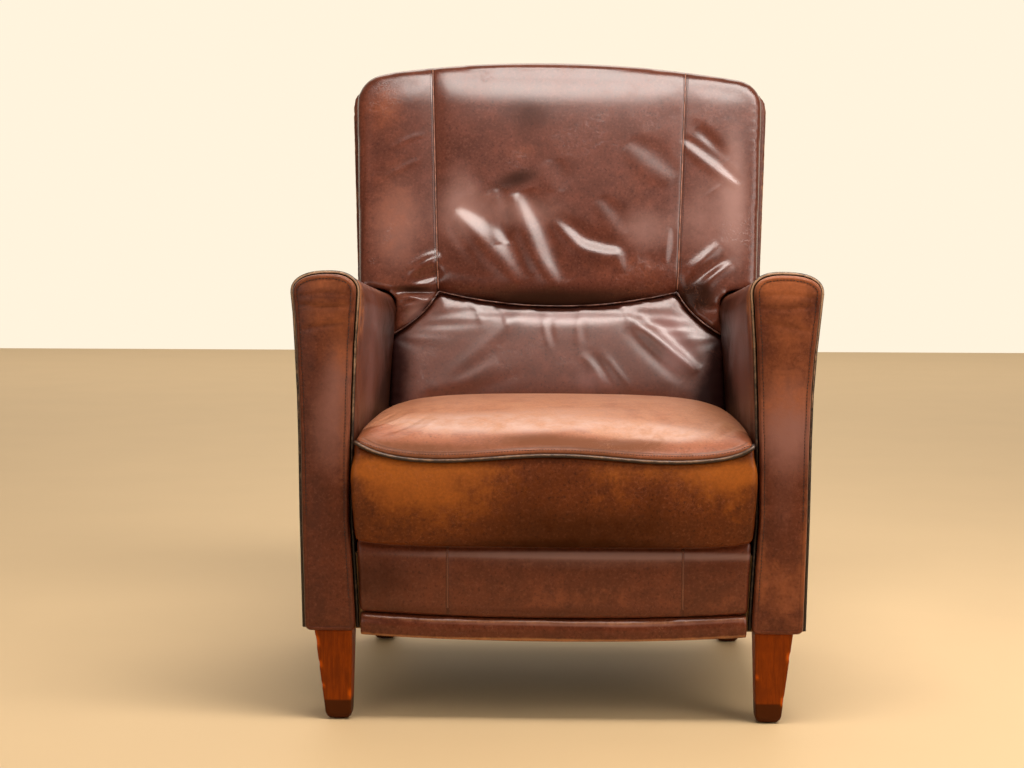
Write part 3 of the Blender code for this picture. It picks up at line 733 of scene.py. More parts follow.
def make_leather(name, hide, worn, grime, bloom, leather, seams=None, roughness=0.26,
                 wax=0.05, gloss=0.42, relief=0.25, speckle=0.90, ragged=1.0):
    """Waxed pull-up cowhide: aniline dyed, drum milled, then years of wear.

    Clouds and mottles of tone come from the dye; "wear" shows the rubbed colour, "grime"
    the greasy dark and painted shade, and "bloom" a pale painted sheen that stands for
    highlights and reflections.  Fine creases and hair pores catch the light.
    Seams name a stored distance, with the reach, the core and the depth of its shadow line.
    """
    finish, tree, shader = new_finish(name)
    place = object_place(tree)
    noise = {label: add_noise(tree, place, size, detail, 0.62, 0.25)
             for label, (size, detail) in HIDE_NOISE.items()}
    colour = (*hide, 1.0)
    scuffed = (*blend(shade(hide, 1.5)[:3], linear("b9a08f"), 0.06), 1.0)
    for source, low, high, most, tone in (
            ("cloud", 0.60, 0.30, 0.58, shade(hide, 0.62)),
            ("mottle", 0.44, 0.80, 0.50, shade(hide, 1.5)),
            ("mottle", 0.52, 0.20, 0.56, shade(hide, 0.58)),
            ("fleck", 0.50, 0.76, speckle * 0.6, scuffed),
            ("fleck", 0.46, 0.30, speckle, shade(hide, 0.52))):
        colour = add_mix(tree, add_ramp(tree, noise[source], low, high, most), colour, tone)
    # bloom paints a pale sheen in place of highlights and reflections; grime paints greasy dirt
    # and also shade
    masks = {}
    for label, torn in (("bloom", 0.4 * ragged), ("wear", 1.1 * ragged), ("grime", 0.9 * ragged)):
        edge = add_math(tree, "MULTIPLY_ADD", noise["mottle"], torn, painted(tree, label))
        edge = add_math(tree, "MULTIPLY_ADD", noise["cloud"], torn * 0.5, edge)
        middle = torn * 0.75
        masks[label] = add_ramp(tree, edge, middle + 0.20, middle + 0.95)
    fleck_tone = add_ramp(tree, noise["fleck"], 0.3, 0.7, kind="LINEAR")
    rubbed = add_mix(tree, fleck_tone, shade(worn, 0.84), shade(worn, 1.12))
    for label, tint in (("bloom", (*bloom, 1.0)), ("wear", rubbed), ("grime", (*grime, 1.0))):
        colour = add_mix(tree, masks[label], colour, tint)

    wrinkled = add_noise(tree, place, CREASE_SIZE, 2.5, 0.55, 1.6)
    ridged = add_math(tree, "ABSOLUTE", add_math(tree, "SUBTRACT", wrinkled, 0.5))
    crease = add_math(tree, "MULTIPLY", add_ramp(tree, ridged, 0.013, 0.0),
                      add_ramp(tree, noise["cloud"], 0.50, 0.68))
    colour = add_mix(tree, add_math(tree, "MULTIPLY", crease, 0.30), colour, shade(worn, 1.05))

    pores = add_node(tree, "TexVoronoi", {"Vector": place, "Scale": 1 / leather.pore_spacing},
                     feature="F1").outputs["Distance"]
    height = add_math(tree, "MULTIPLY", pores, leather.grain_height * PORE_GAIN)
    for source, amount in ((noise["fleck"], 0.34), (noise["mottle"], 0.45), (crease, -0.40)):
        height = add_math(tree, "MULTIPLY_ADD", source, amount, height)
    for label, (reach, core, depth) in (seams or {}).items():
        gap = add_math(tree, "ABSOLUTE", painted(tree, label))
        line = add_ramp(tree, gap, reach, core, depth)
        colour = add_mix(tree, line, colour, shade(grime, 0.7))
        height = add_math(tree, "MULTIPLY_ADD", line, -0.6 / relief, height)
    rough = roughness - 0.06
    for source, amount in ((noise["mottle"], 0.04), (noise["cloud"], 0.05),
                           (masks["wear"], 0.012)):
        rough = add_math(tree, "MULTIPLY_ADD", source, amount, rough)
    shine = add_math(tree, "MULTIPLY_ADD", masks["grime"], -0.80 * gloss, gloss)
    set_inputs(tree, shader, {
        "Base Color": colour, "Roughness": rough, "IOR": 1.5, "Specular IOR Level": shine,
        "Normal": add_bump(tree, height, RELIEF_UNIT * relief, 0.85),
        "Coat Weight": wax, "Coat Roughness": 0.30})
    return finish


def make_piping(name, cord, worn):
    """Folded leather piping: nearly black with polish and handling, rubbed pale on its crest."""
    finish, tree, shader = new_finish(name)
    patches = add_noise(tree, object_place(tree), 0.014, 5.0, 0.7)
    edge = add_math(tree, "ADD", patches, painted(tree, "wear"))
    set_inputs(tree, shader, {
        "Base Color": add_mix(tree, add_ramp(tree, edge, 0.72, 1.25), (*cord, 1.0), (*worn, 1.0)),
        "Normal": add_bump(tree, patches, 0.0008, 0.6), "Roughness": 0.42})
    return finish


def make_thread(name, colour):
    """Waxed polyester thread, dark with age; its ply shows only as a soft grain."""
    finish, tree, shader = new_finish(name)
    ply = add_noise(tree, object_place(tree), 0.0012, 2.0)
    set_inputs(tree, shader, {
        "Base Color": add_mix(tree, ply, shade(colour, 0.7), shade(colour, 1.35)),
        "Roughness": 0.6})
    return finish


def make_timber(name, colour, ring, roughness, tip=None):
    """Straight-grained hardwood: growth rings stretched along the grain, pores and stain."""
    finish, tree, shader = new_finish(name)
    place = object_place(tree)
    stretched = add_node(tree, "Mapping", {
        "Vector": place, "Scale": (1.0, 1.0, 0.06)}).outputs["Vector"]
    rings = add_noise(tree, stretched, ring, 4.0, 0.6, 0.8)
    vessels = add_noise(tree, stretched, ring / 6, 2.0)
    cloud = add_noise(tree, place, 0.040, 3.0)
    tone = (*colour, 1.0)
    for source, low, high, factor in ((rings, 0.42, 0.66, 1.45), (rings, 0.50, 0.30, 0.62),
                                      (vessels, 0.56, 0.72, 0.55), (cloud, 0.5, 0.7, 0.75)):
        tone = add_mix(tree, add_ramp(tree, source, low, high, 0.6), tone, shade(colour, factor))
    if tip is not None:
        for label, tint in (("tip", (*tip, 1.0)), ("chip", shade(colour, 2.6))):
            tone = add_mix(tree, painted(tree, label), tone, tint)
    set_inputs(tree, shader, {
        "Base Color": tone, "Normal": add_bump(tree, vessels, 0.0003, 0.5),
        "Roughness": roughness})
    return finish


def make_plain(name, colour, roughness, metallic, grain, spread_by):
    """Plain stock for parts out of sight: a little tone and surface noise of the real scale."""
    finish, tree, shader = new_finish(name)
    spots = add_noise(tree, object_place(tree), grain, 4.0, 0.65)
    set_inputs(tree, shader, {
        "Base Color": add_mix(tree, spots, shade(colour, 1 - spread_by),
                              shade(colour, 1 + spread_by)),
        "Roughness": add_math(tree, "MULTIPLY_ADD", spots, 0.2, roughness - 0.1),
        "Normal": add_bump(tree, spots, grain * 0.2, 0.4), "Metallic": metallic})
    return finish


# ---------------------------------------------------------------- back
FACE_OUT = Vector((0.0, -1.0, BACK_FRONT_SLOPE)).normalized()
RIM_ROUND = 0.048
RIM_SQUARE_BELOW = 0.640
UPPER_LAP = 0.0025
LUMBAR_LAP = 0.0050
FLANGE_SEAM = {"seam_side": (0.0040, 0.0016, 0.60), "seam_low": (0.0046, 0.0016, 0.60)}

# Slopes and folds are lines of points with a height and a half width; spots of wear, of grime
# and painted shade, and of painted sheen are centres with half sizes, a turn in degrees and a
# strength.  The first slopes lie broad over the middle of the back, the last two on the wings.
BACK_SLOPES = [
    ([(-0.178, 0.751), (-0.1463, 0.7293), (-0.1172, 0.7063), (-0.0939, 0.6805),
      (-0.0764, 0.6548), (-0.058, 0.625)], 0.0042, 0.022),
    ([(-0.1, 0.783), (-0.101, 0.7429), (-0.1, 0.7169), (-0.094, 0.69)], 0.002, 0.012),
    ([(-0.066, 0.778), (-0.052, 0.74), (-0.037, 0.706), (-0.019, 0.664),
      (0.008, 0.618)], 0.005, 0.0205),
    ([(-0.009, 0.736), (0.0228, 0.7091), (0.0458, 0.6905), (0.0802, 0.6805), (0.106, 0.6748),
      (0.118, 0.642)], 0.0027, 0.0135),
    ([(0.07, 0.7661), (0.0987, 0.7313), (0.11, 0.7054)], 0.0009, 0.012),
    ([(0.12, 0.864), (0.1664, 0.8305), (0.203, 0.802)], 0.0009, 0.017),
    ([(-0.194, 0.723), (-0.1685, 0.6853), (-0.138, 0.645)], 0.0009, 0.012),
    ([(-0.0083, 0.8355), (-0.0024, 0.78)], 0.0006, 0.014),
    ([(0.195, 0.718), (0.1925, 0.686), (0.1882, 0.6568)], 0.0009, 0.0065),
    ([(0.146, 0.669), (0.162, 0.645)], 0.0006, 0.01),
    ([(0.215, 0.872), (0.2609, 0.8362), (0.315, 0.791)], 0.0013, 0.009),
    ([(-0.286, 0.597), (-0.2381, 0.6015), (-0.204, 0.6045)], 0.0014, 0.0055),
]
BACK_FOLDS = [
    ([(0.2406, 0.895), (0.2652, 0.8694), (0.2965, 0.833)], -0.0024, 0.011),
    ([(0.2521, 0.7683), (0.2702, 0.7826), (0.2919, 0.7969)], 0.0004, 0.0028),
    ([(0.222, 0.64), (0.248, 0.66), (0.28, 0.69)], 0.0038, 0.01),
    ([(0.222, 0.62), (0.25, 0.64), (0.292, 0.67)], -0.0036, 0.0085),
    ([(0.246, 0.608), (0.268, 0.632), (0.302, 0.656)], 0.0036, 0.0095),
    ([(0.228, 0.58), (0.25, 0.566), (0.272, 0.552)], 0.0024, 0.0062),
    ([(0.236, 0.594), (0.258, 0.582), (0.284, 0.584)], -0.0024, 0.0062),
    ([(0.258, 0.546), (0.27, 0.558), (0.286, 0.566)], 0.0018, 0.005),
    ([(-0.26, 0.638), (-0.2251, 0.656), (-0.2004, 0.6684)], 0.0058, 0.01),
    ([(-0.254, 0.622), (-0.2188, 0.6351), (-0.1969, 0.6446)], -0.0056, 0.0085),
    ([(-0.29, 0.608), (-0.2411, 0.6097), (-0.2035, 0.6114)], -0.006, 0.006),
    ([(-0.262, 0.601), (-0.235, 0.593), (-0.211, 0.596)], 0.0026, 0.0044),
    ([(-0.2, 0.599), (-0.2348, 0.5877), (-0.27, 0.5765)], 0.0036, 0.005),
    ([(-0.204, 0.592), (-0.23, 0.576), (-0.258, 0.559)], -0.0036, 0.0046),
    ([(-0.205, 0.586), (-0.233, 0.564), (-0.256, 0.541)], 0.0034, 0.005),
    ([(-0.3, 0.85), (-0.262, 0.872), (-0.232, 0.88)], 0.0004, 0.005),
    ([(-0.31, 0.8), (-0.27, 0.822), (-0.24, 0.836)], 0.0004, 0.005),
]
BACK_WEAR = [
    ((-0.305, 0.93), (0.05, 0.055), -20, 0.48), ((0.06, 0.65), (0.11, 0.04), 0, 0.3),
    ((-0.285, 0.74), (0.06, 0.13), 0, 0.5), ((0.16, 0.64), (0.05, 0.03), 0, 0.2),
    ((0.13, 0.78), (0.06, 0.08), 20, 0.34), ((-0.06, 0.85), (0.05, 0.02), 10, 0.4),
    ((-0.13, 0.69), (0.03, 0.03), -40, 0.4), ((-0.28, 0.6), (0.05, 0.03), 0, 0.3),
]
# The band above the curved seam, the line along the left wing's low crease and the thin strips
# down the wings' outer edges are painted shade; the other spots are grime and stains.
BACK_GRIME_AND_SHADE = [
    ((-0.05, 0.922), (0.055, 0.034), -20, 0.55), ((-0.06, 0.88), (0.04, 0.03), 0, 0.25),
    ((-0.085, 0.797), (0.06, 0.02), 19, 0.62), ((-0.058, 0.806), (0.034, 0.02), 0, 0.24),
    ((0.07, 0.8), (0.05, 0.025), 10, 0.35), ((-0.07, 0.72), (0.012, 0.045), 15, 0.3),
    ((0.24, 0.606), (0.034, 0.032), 0, 0.84), ((0.262, 0.85), (0.035, 0.014), -40, 0.45),
    ((-0.2, 0.87), (0.02, 0.06), 0, 0.3), ((0.0, 0.594), (0.23, 0.028), 0, 0.95),
    ((0.335, 0.76), (0.008, 0.2), 0, 0.35), ((-0.338, 0.72), (0.006, 0.2), 0, 0.5),
    ((-0.25, 0.612), (0.04, 0.008), 0, 0.7), ((-0.14, 0.65), (0.04, 0.02), 0, 0.35),
]
# Painted highlights and sheen: the broad pale sheen down the right wing, the pale patches on the
# left wing and across the middle, and the pale pleats low on the left wing.
BACK_PAINTED_SHEEN = [
    ((0.308, 0.77), (0.03, 0.15), 0, 0.7), ((0.25, 0.74), (0.045, 0.11), 0, 0.48),
    ((-0.28, 0.72), (0.06, 0.11), 0, 0.6), ((-0.06, 0.745), (0.1, 0.04), 0, 0.6),
    ((0.15, 0.715), (0.065, 0.055), 0, 0.56), ((-0.17, 0.76), (0.045, 0.1), 0, 0.52),
    ((-0.238, 0.577), (0.036, 0.016), 35, 0.6),
]


def back_outline():
    """Outline of the upper back with both wings, from the right wing's tip round to the left."""
    sunk = [(x, z - arm_drop(z)) for x, z in arm_outline(6)]
    lifted = offset_line(sunk, 0.0012)
    dome = [p for p in lifted if p[0] < BACK_HALF - 0.004 and p[1] > WING_TIP[1] + 0.010]
    side = [(flared(BACK_HALF, z), z) for z in (dome[-1][1] - 0.0025, 0.72, 0.82)]
    arch = back_arch(BACK_HALF, BACK_TOP, BACK_CORNER)
    seam = [(x, z - UPPER_LAP) for x, z in reversed(wing_seam())]
    smile = [(x, smile_z(x) - UPPER_LAP) for x in spread(SEAM_LOW[0], 0, 12)][1:]
    right = list(reversed(smile)) + list(reversed(seam)) + dome + side + arch[:-1]
    left = [(-x, z) for x, z in reversed(right)]
    return right + [arch[-1]] + left[:-1]


def slab(name, outline, front_of, rear_of, rounding):
    """A blank for a cover: an outline between two leaning faces, its front rim rounded."""
    builder = bmesh.new()
    face = outline_face(builder, [(x, front_of(z), z) for x, z in outline])
    rim = set(face.verts)
    rear = pull_face(builder, face, (0.0, 0.05, 0.0))
    for vert in rear:
        vert.co.y = rear_of(vert.co.z)
    weight = builder.edges.layers.float.new("bevel_weight_edge")
    for edge in builder.edges:
        if edge.verts[0] in rim and edge.verts[1] in rim:
            middle = (edge.verts[0].co + edge.verts[1].co) / 2
            edge[weight] = rounding(middle)
    piece = add_piece(name, builder)
    bevel = piece.modifiers.new("rounded rim", "BEVEL")
    bevel.limit_method = "WEIGHT"
    bevel.width = RIM_ROUND
    bevel.segments = 5
    return bake(piece)


def carve(piece, outline, half_width):
    """Cut the room that the back frame takes up out of a blank; outline is (y, z)."""
    builder = bmesh.new()
    face = outline_face(builder, [(-half_width, y, z) for y, z in outline])
    pull_face(builder, face, (2 * half_width, 0.0, 0.0))
    tool = add_piece("room_for_frame", builder)
    knife = piece.modifiers.new("room", "BOOLEAN")
    knife.operation, knife.solver, knife.object = "DIFFERENCE", "EXACT", tool
    bake(piece)
    bpy.data.objects.remove(tool)


def seam_line_upper():
    """The smile with both wing seams, from the left wing's tip to the right one's."""
    right = [(x, smile_z(x)) for x in spread(0, SEAM_LOW[0], 10)] + wing_seam()[1:]
    return [(-x, z) for x, z in reversed(right[1:])] + right


class CLUBCHAIR_OT_back(bpy.types.Operator):
    """Build the upper back cover with its wings, folds and sewing"""
    bl_idname = "club_chair.back"
    bl_label = "Upper back and wings"

    def execute(self, context):
        leather = context.scene.club_chair_leather
        sewing = context.scene.club_chair_sewing

        def rounding(middle):
            if middle.z < RIM_SQUARE_BELOW:
                return 0.0
            return 1.0 - 0.36 * float(ease(middle.z, 0.920, 0.985))
        outline = back_outline()
        cover = slab("upper_back_cover", outline, lambda z: back_face_y(z, UPPER_BULGE),
                     pad_end_y, rounding)
        low, high = 0.10, TOP_RAIL + 0.001
        carve(cover, [(cavity_y(low), low), (cavity_y(low) + 0.2, low),
                      (cavity_y(high) + 0.2, high), (cavity_y(high), high)], POST_HALF + 0.001)
        remesh(cover, sewing.voxel, 5)
        seam = seam_line_upper()
        start = points_of(cover)
        flat = start[:, [0, 2]]
        to_seam = np.abs(line_distance(flat, seam)[0])
        side = np.abs(np.abs(start[:, 0]) - seam_x(start[:, 2]))
        to_rim = np.abs(line_distance(flat, [*outline, outline[0]])[0])
        sewn = np.maximum.reduce([1 - ease(np.minimum(to_seam, side), 0.004, 0.020),
                                  1 - ease(to_rim, 0.014, 0.040),
                                  ease(pad_depth(start), 0.030, 0.055)])
        settle(cover, sewn, sewing, 0.006)
        refine(cover)
        points = skewed_top(points_of(cover))
        flat = points[:, [0, 2]]
        depth = pad_depth(points)
        facing = ease(normals_of(cover) @ np.array(FACE_OUT), 0.15, 0.6) * (depth < 0.06)
        push = facing[:, None] * np.array(FACE_OUT)
        low_seam = line_distance(flat, seam)[0]
        side_seam = np.abs(points[:, 0]) - seam_x(points[:, 2])
        side_seam = np.where(points[:, 2] > SEAM_LOW[1], side_seam, FAR_FROM_SEAM)
        middle = 1 - ease(np.abs(points[:, 0]), SEAM_LOW[0] - 0.004, SEAM_LOW[0] + 0.016)
        under = 0.0110 + 0.0060 * middle
        over = np.clip((points[:, 2] - 0.930) / 0.065, 0, 1)
        roll = (-0.0042 * over ** 2 - 0.0012 * np.exp(-(side_seam / 0.014) ** 2)
                - 0.0008 * np.exp(-(side_seam / 0.0040) ** 2)
                - under * np.clip(1 - low_seam / 0.044, 0, 1) ** 2)
        move_points(cover, points + push * roll[:, None])
        press(cover, flat, push, BACK_FOLDS, BACK_SLOPES)
        mark(cover, "seam_low", low_seam)
        mark(cover, "seam_side", np.where(depth < 0.10, side_seam, FAR_FROM_SEAM))
        paint(cover, flat, wear=BACK_WEAR, grime=BACK_GRIME_AND_SHADE, bloom=BACK_PAINTED_SHEEN)
        hide = make_leather("waxed_cowhide_back", leather.back_hide, leather.rubbed,
                            linear("2c160d"), linear("946f66"), leather, seams=FLANGE_SEAM,
                            gloss=0.47, ragged=0.35)
        dress(cover, hide)
        own(cover, "back_leather", "upper_back_cushion", "back_wing_left", "back_wing_right")
        thread = make_thread("waxed_thread_brown", linear("2c1a16"))
        rows = [[(side * (seam_x(z) + 0.0046), back_face_y(z, UPPER_BULGE), z)
                 for z in spread(0.622, 0.988, 40)] for side in (-1, 1)]
        stitch_rows("upper_back_stitching", cover, rows, sewing, thread, "back_leather")
        return {"FINISHED"}


LUMBAR_HALF = 0.2866
LUMBAR_SAG = 0.033
LUMBAR_SLOPES = [
    ([(0.13, 0.566), (0.178, 0.533), (0.242, 0.478)], 0.0024, 0.013),
]
LUMBAR_FOLDS = [
    ([(-0.024, 0.572), (-0.022, 0.545), (-0.016, 0.515)], 0.001, 0.005),
    ([(-0.012, 0.566), (-0.01, 0.54), (-0.004, 0.515)], -0.0012, 0.0055),
    ([(0.037, 0.568), (0.034, 0.545), (0.034, 0.515)], 0.0009, 0.005),
    ([(0.048, 0.56), (0.046, 0.54), (0.048, 0.52)], -0.0009, 0.005),
    ([(0.04, 0.505), (0.058, 0.482), (0.078, 0.448)], 0.0016, 0.007),
    ([(0.082, 0.5), (0.1, 0.475), (0.128, 0.44)], 0.0016, 0.007),
    ([(0.06, 0.505), (0.078, 0.48), (0.1, 0.445)], -0.0014, 0.007),
    ([(-0.225, 0.44), (-0.16, 0.455), (-0.095, 0.49)], 0.0024, 0.012),
    ([(-0.205, 0.45), (-0.13, 0.51), (-0.06, 0.575)], 0.0022, 0.012),
    ([(-0.19, 0.432), (-0.12, 0.448), (-0.06, 0.47)], -0.002, 0.011),
    ([(0.13, 0.562), (0.18, 0.52), (0.242, 0.468)], 0.0026, 0.011),
    ([(0.115, 0.548), (0.165, 0.5), (0.215, 0.455)], -0.0024, 0.012),
    ([(-0.11, 0.592), (-0.09, 0.57), (-0.085, 0.545)], 0.001, 0.005),
    ([(-0.15, 0.59), (-0.135, 0.57), (-0.13, 0.55)], 0.0009, 0.005),
    ([(0.11, 0.588), (0.12, 0.565), (0.118, 0.545)], 0.001, 0.005),
]
LUMBAR_WEAR = [
    ((0.0, 0.47), (0.15, 0.02), 0, 0.2),
]
# The spots at both ends darken the pad beside the arms, and the low ones along its foot by the
# seat: painted shade.
LUMBAR_GRIME_AND_SHADE = [
    ((-0.286, 0.47), (0.042, 0.14), 0, 1.15), ((0.29, 0.48), (0.044, 0.12), 0, 1.15),
    ((0.262, 0.425), (0.045, 0.04), 0, 0.7), ((-0.09, 0.445), (0.1, 0.02), 10, 0.35),
    ((0.17, 0.47), (0.04, 0.02), -40, 0.3),
]
# Painted highlights: the band just under the curved seam and the streaks on the right of the pad.
LUMBAR_PAINTED_SHEEN = [
    ((0.0, 0.562), (0.17, 0.02), 0, 0.62), ((0.19, 0.55), (0.03, 0.03), -35, 0.6),
    ((0.06, 0.46), (0.05, 0.03), 0, 0.5), ((0.205, 0.5), (0.036, 0.05), -40, 0.7),
]


class CLUBCHAIR_OT_lumbar(bpy.types.Operator):
    """Build the lumbar pad below the curved seam"""
    bl_idname = "club_chair.lumbar"
    bl_label = "Lumbar pad"

    def execute(self, context):
        leather = context.scene.club_chair_leather
        sewing = context.scene.club_chair_sewing
        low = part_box("lumbar_cushion")[0].z - 0.012
        side = [(LUMBAR_HALF, low - LUMBAR_SAG), (0.2848, 0.480),
                (WING_TIP[0], WING_TIP[1] - SEAM_GAP)]
        seam = [(x, z + LUMBAR_LAP) for x, z in reversed(wing_seam())][1:]
        smile = [(x, smile_z(x) + LUMBAR_LAP) for x in spread(SEAM_LOW[0], 0, 12)][1:]
        right = side + seam + smile
        foot = [(x, low - LUMBAR_SAG * abs(x / LUMBAR_HALF) ** 4)
                for x in spread(-LUMBAR_HALF, LUMBAR_HALF, 16)]
        outline = right + [(-x, z) for x, z in reversed(right[1:-1])] + foot[:-1]
        pad = slab("lumbar_pad", outline, back_face_y, lambda z: cavity_y(z) - 0.0008,
                   lambda middle: 0.0)
        remesh(pad, sewing.voxel, 4)
        start = points_of(pad)
        to_seam = np.abs(line_distance(start[:, [0, 2]], seam_line_upper())[0])
        sewn = np.maximum(1 - ease(to_seam, 0.004, 0.020),
                          ease(pad_depth(start), 0.020, 0.040))
        settle(pad, sewn, sewing, 0.007)
        refine(pad)
        points = points_of(pad)
        flat = points[:, [0, 2]]
        facing = ease(normals_of(pad) @ np.array(FACE_OUT), 0.1, 0.6)
        push = facing[:, None] * np.array(FACE_OUT)
        low_seam = line_distance(flat, seam_line_upper())[0]
        recede = -0.0062 * np.clip(1 + low_seam / 0.038, 0, 1.2) ** 2
        move_points(pad, points + push * recede[:, None])
        press(pad, flat, push, LUMBAR_FOLDS, LUMBAR_SLOPES)
        mark(pad, "seam_low", low_seam)
        paint(pad, flat, wear=LUMBAR_WEAR, grime=LUMBAR_GRIME_AND_SHADE, bloom=LUMBAR_PAINTED_SHEEN)
        hide = make_leather("waxed_cowhide_lumbar", shade(leather.back_hide, 1.16)[:3],
                            leather.rubbed, linear("26100d"), linear("8a5f5a"), leather,
                            seams={"seam_low": (0.0034, 0.0008, 0.55)}, roughness=0.40, gloss=1.0,
                            wax=0.10, ragged=0.5)
        dress(pad, hide)
        own(pad, "lumbar_leather", "lumbar_cushion")
        return {"FINISHED"}


class CLUBCHAIR_OT_seams(bpy.types.Operator):
    """Lay the raised seams of the back over the covers"""
    bl_idname = "club_chair.seams"
    bl_label = "Raised seams"

    def execute(self, context):
        sewing = context.scene.club_chair_sewing
        cover, pad = bpy.data.objects["upper_back_cover"], bpy.data.objects["lumbar_pad"]
        edge = make_piping("turned_seam_edge", linear("3c1d14"), linear("a4694f"))
        for side in (-1, 1):
            line = [(side * seam_x(z), z) for z in spread(0.6105, 0.9920 - 0.0035 * side, 90)]
            piece = round_cord("side_seam_" + side_name(side), dropped(line, [cover], 0.0002),
                               SEAM_CORD_RADIUS, edge, "back_leather")
            mark(piece, "wear", 0.50)
        low = resample([(x, z - 0.0010) for x, z in seam_line_upper()], 0.004)[0]
        laid = dropped([tuple(p) for p in low], [cover, pad], 0.0006)
        piece = round_cord("curved_seam", laid, SEAM_CORD_RADIUS, edge, "back_leather")
        mark(piece, "wear", 0.34)
        thread = make_thread("waxed_thread_seam", linear("25130f"))
        row = [(x, z - 0.0048) for x, z in seam_line_upper() if abs(x) < 0.203]
        row = [tuple(p) for p in resample(row, 0.004)[0]]
        stitch_rows("curved_seam_stitching", pad, [dropped(row, [pad], 0.0)], sewing, thread,
                    "lumbar_leather")
        return {"FINISHED"}


# ---------------------------------------------------------------- seat
SEAT_CREST_Y = -0.150
CROWN_POWER = 3.0
ROLL_POWER = 2.1
END_LIFT = 0.0080
SEAT_SIDE_Z = 0.424
SEAT_SIDE_FALL = 0.024
WELT_Y = ARM_FRONT - 0.0065
SEAT_MESH_BIAS = 1.8
# how far forward the seat's front stands at a share of its height
BOXING_PROFILE = [(0.00, ARM_FRONT - 0.0035), (0.06, ARM_FRONT - 0.0085),
                  (0.22, SEAT_FRONT + 0.001), (0.45, SEAT_FRONT - 0.001),
                  (0.68, SEAT_FRONT + 0.001), (0.88, ARM_FRONT - 0.0085),
                  (1.00, WELT_Y + 0.0020)]
SEAT_FOLDS = [
    ([(-0.28, -0.37), (-0.24, -0.33), (-0.215, -0.27)], 0.0018, 0.006),
    ([(-0.283, -0.34), (-0.255, -0.3), (-0.24, -0.25)], -0.0018, 0.0055),
    ([(-0.255, -0.385), (-0.215, -0.345), (-0.19, -0.29)], -0.0016, 0.006),
    ([(-0.225, -0.392), (-0.19, -0.355), (-0.172, -0.31)], 0.0014, 0.0055),
    ([(0.06, -0.395), (0.12, -0.37), (0.19, -0.372)], -0.003, 0.014),
    ([(-0.06, -0.398), (0.01, -0.375), (0.06, -0.34)], 0.0016, 0.016),
    ([(0.2, -0.39), (0.235, -0.35), (0.262, -0.29)], 0.0014, 0.007),
    ([(0.225, -0.395), (0.255, -0.355), (0.275, -0.31)], -0.0014, 0.006),
]
# The spots along the front are grime; the strips at both sides beside the arms and the wide spot
# at the back, under the lumbar pad, are painted shade.
SEAT_GRIME_AND_SHADE = [
    ((0.03, -0.398), (0.1, 0.018), 0, 0.42), ((0.12, -0.39), (0.07, 0.02), 10, 0.42),
    ((-0.04, -0.385), (0.07, 0.018), 0, 0.36), ((-0.275, -0.33), (0.016, 0.07), 0, 0.35),
    ((-0.19, -0.406), (0.09, 0.014), 0, 0.42), ((0.15, -0.35), (0.05, 0.01), 15, 0.3),
    ((0.0, 0.13), (0.28, 0.07), 0, 0.5), ((0.278, -0.3), (0.01, 0.06), 0, 0.4),
]
# Painted sheen: the broad pale band of highlight across the seat's top and front roll.
SEAT_PAINTED_SHEEN = [
    ((-0.08, -0.34), (0.15, 0.05), 0, 0.95), ((0.17, -0.372), (0.085, 0.034), -8, 0.9),
    ((-0.19, -0.33), (0.06, 0.06), 0, 0.55), ((0.04, -0.27), (0.16, 0.05), 0, 0.5),
    ((0.02, -0.345), (0.13, 0.024), 0, 0.45),
]
BOX_WEAR = [
    ((-0.21, 0.35), (0.11, 0.042), 0, 0.62), ((-0.12, 0.335), (0.1, 0.06), 0, 0.32),
    ((0.235, 0.352), (0.075, 0.04), 0, 0.5), ((0.08, 0.345), (0.05, 0.06), 0, 0.35),
    ((-0.262, 0.374), (0.055, 0.018), 0, 0.6), ((0.262, 0.374), (0.04, 0.02), 0, 0.6),
    ((0.16, 0.372), (0.11, 0.016), 0, 0.3), ((-0.13, 0.376), (0.08, 0.012), 0, 0.3),
    ((-0.23, 0.285), (0.1, 0.035), 0, 0.26), ((0.265, 0.3), (0.03, 0.05), 0, 0.22),
]
# The boxing darkens towards the bottom: the lower spots and the strip along the bottom edge are
# painted shade, the upper spots grime.
BOX_GRIME_AND_SHADE = [
    ((-0.02, 0.285), (0.14, 0.04), 0, 0.5), ((-0.04, 0.345), (0.045, 0.035), 0, 0.3),
    ((0.03, 0.365), (0.05, 0.02), 0, 0.35), ((0.145, 0.345), (0.02, 0.034), 0, 0.36),
    ((0.13, 0.29), (0.12, 0.035), 0, 0.4), ((0.0, 0.262), (0.29, 0.01), 0, 0.45),
    ((-0.245, 0.345), (0.02, 0.01), 20, 0.3),
]
BAND_LOW, BAND_HIGH = 0.0030, 0.0115


def lifted_end(x):
    """How far the seam between seat and base rises towards the arms."""
    return END_LIFT * min(1.0, abs(x) / BASE_HALF) ** 7


def seat_point(u, v, w):
    """Where a point of the unit cube lies on the seat cushion."""
    x = u * SEAT_HALF
    edge = welt_z(x)
    side = SEAT_SIDE_Z - SEAT_SIDE_FALL * (v + 1) / 2
    crest = side + (SEAT_CROWN - side) * max(0.0, 1 - abs(u) ** CROWN_POWER) ** (1 / CROWN_POWER)
    crest = max(crest, edge + 0.001)
    share = (w + 1) / 2
    front = float(np.interp(share, *zip(*BOXING_PROFILE)))
    back = (v + 1) / 2
    start = WELT_Y + 0.0030
    reach = (SEAT_CREST_Y - start) / (SEAT_REAR - start)
    if back < reach:
        rise = (1 - (1 - back / reach) ** ROLL_POWER) ** (1 / ROLL_POWER)
        top = edge + (crest - edge) * rise
    else:
        fall = (back - reach) / (1 - reach)
        top = crest - 0.026 * fall * fall - 0.010 * max(0.0, min(1.0, (fall - 0.68) / 0.12))
    y = front + (SEAT_REAR - front) * back
    low = SEAT_BOTTOM + lifted_end(x)
    z = low + (top - low) * share
    return Vector((x, y, z))


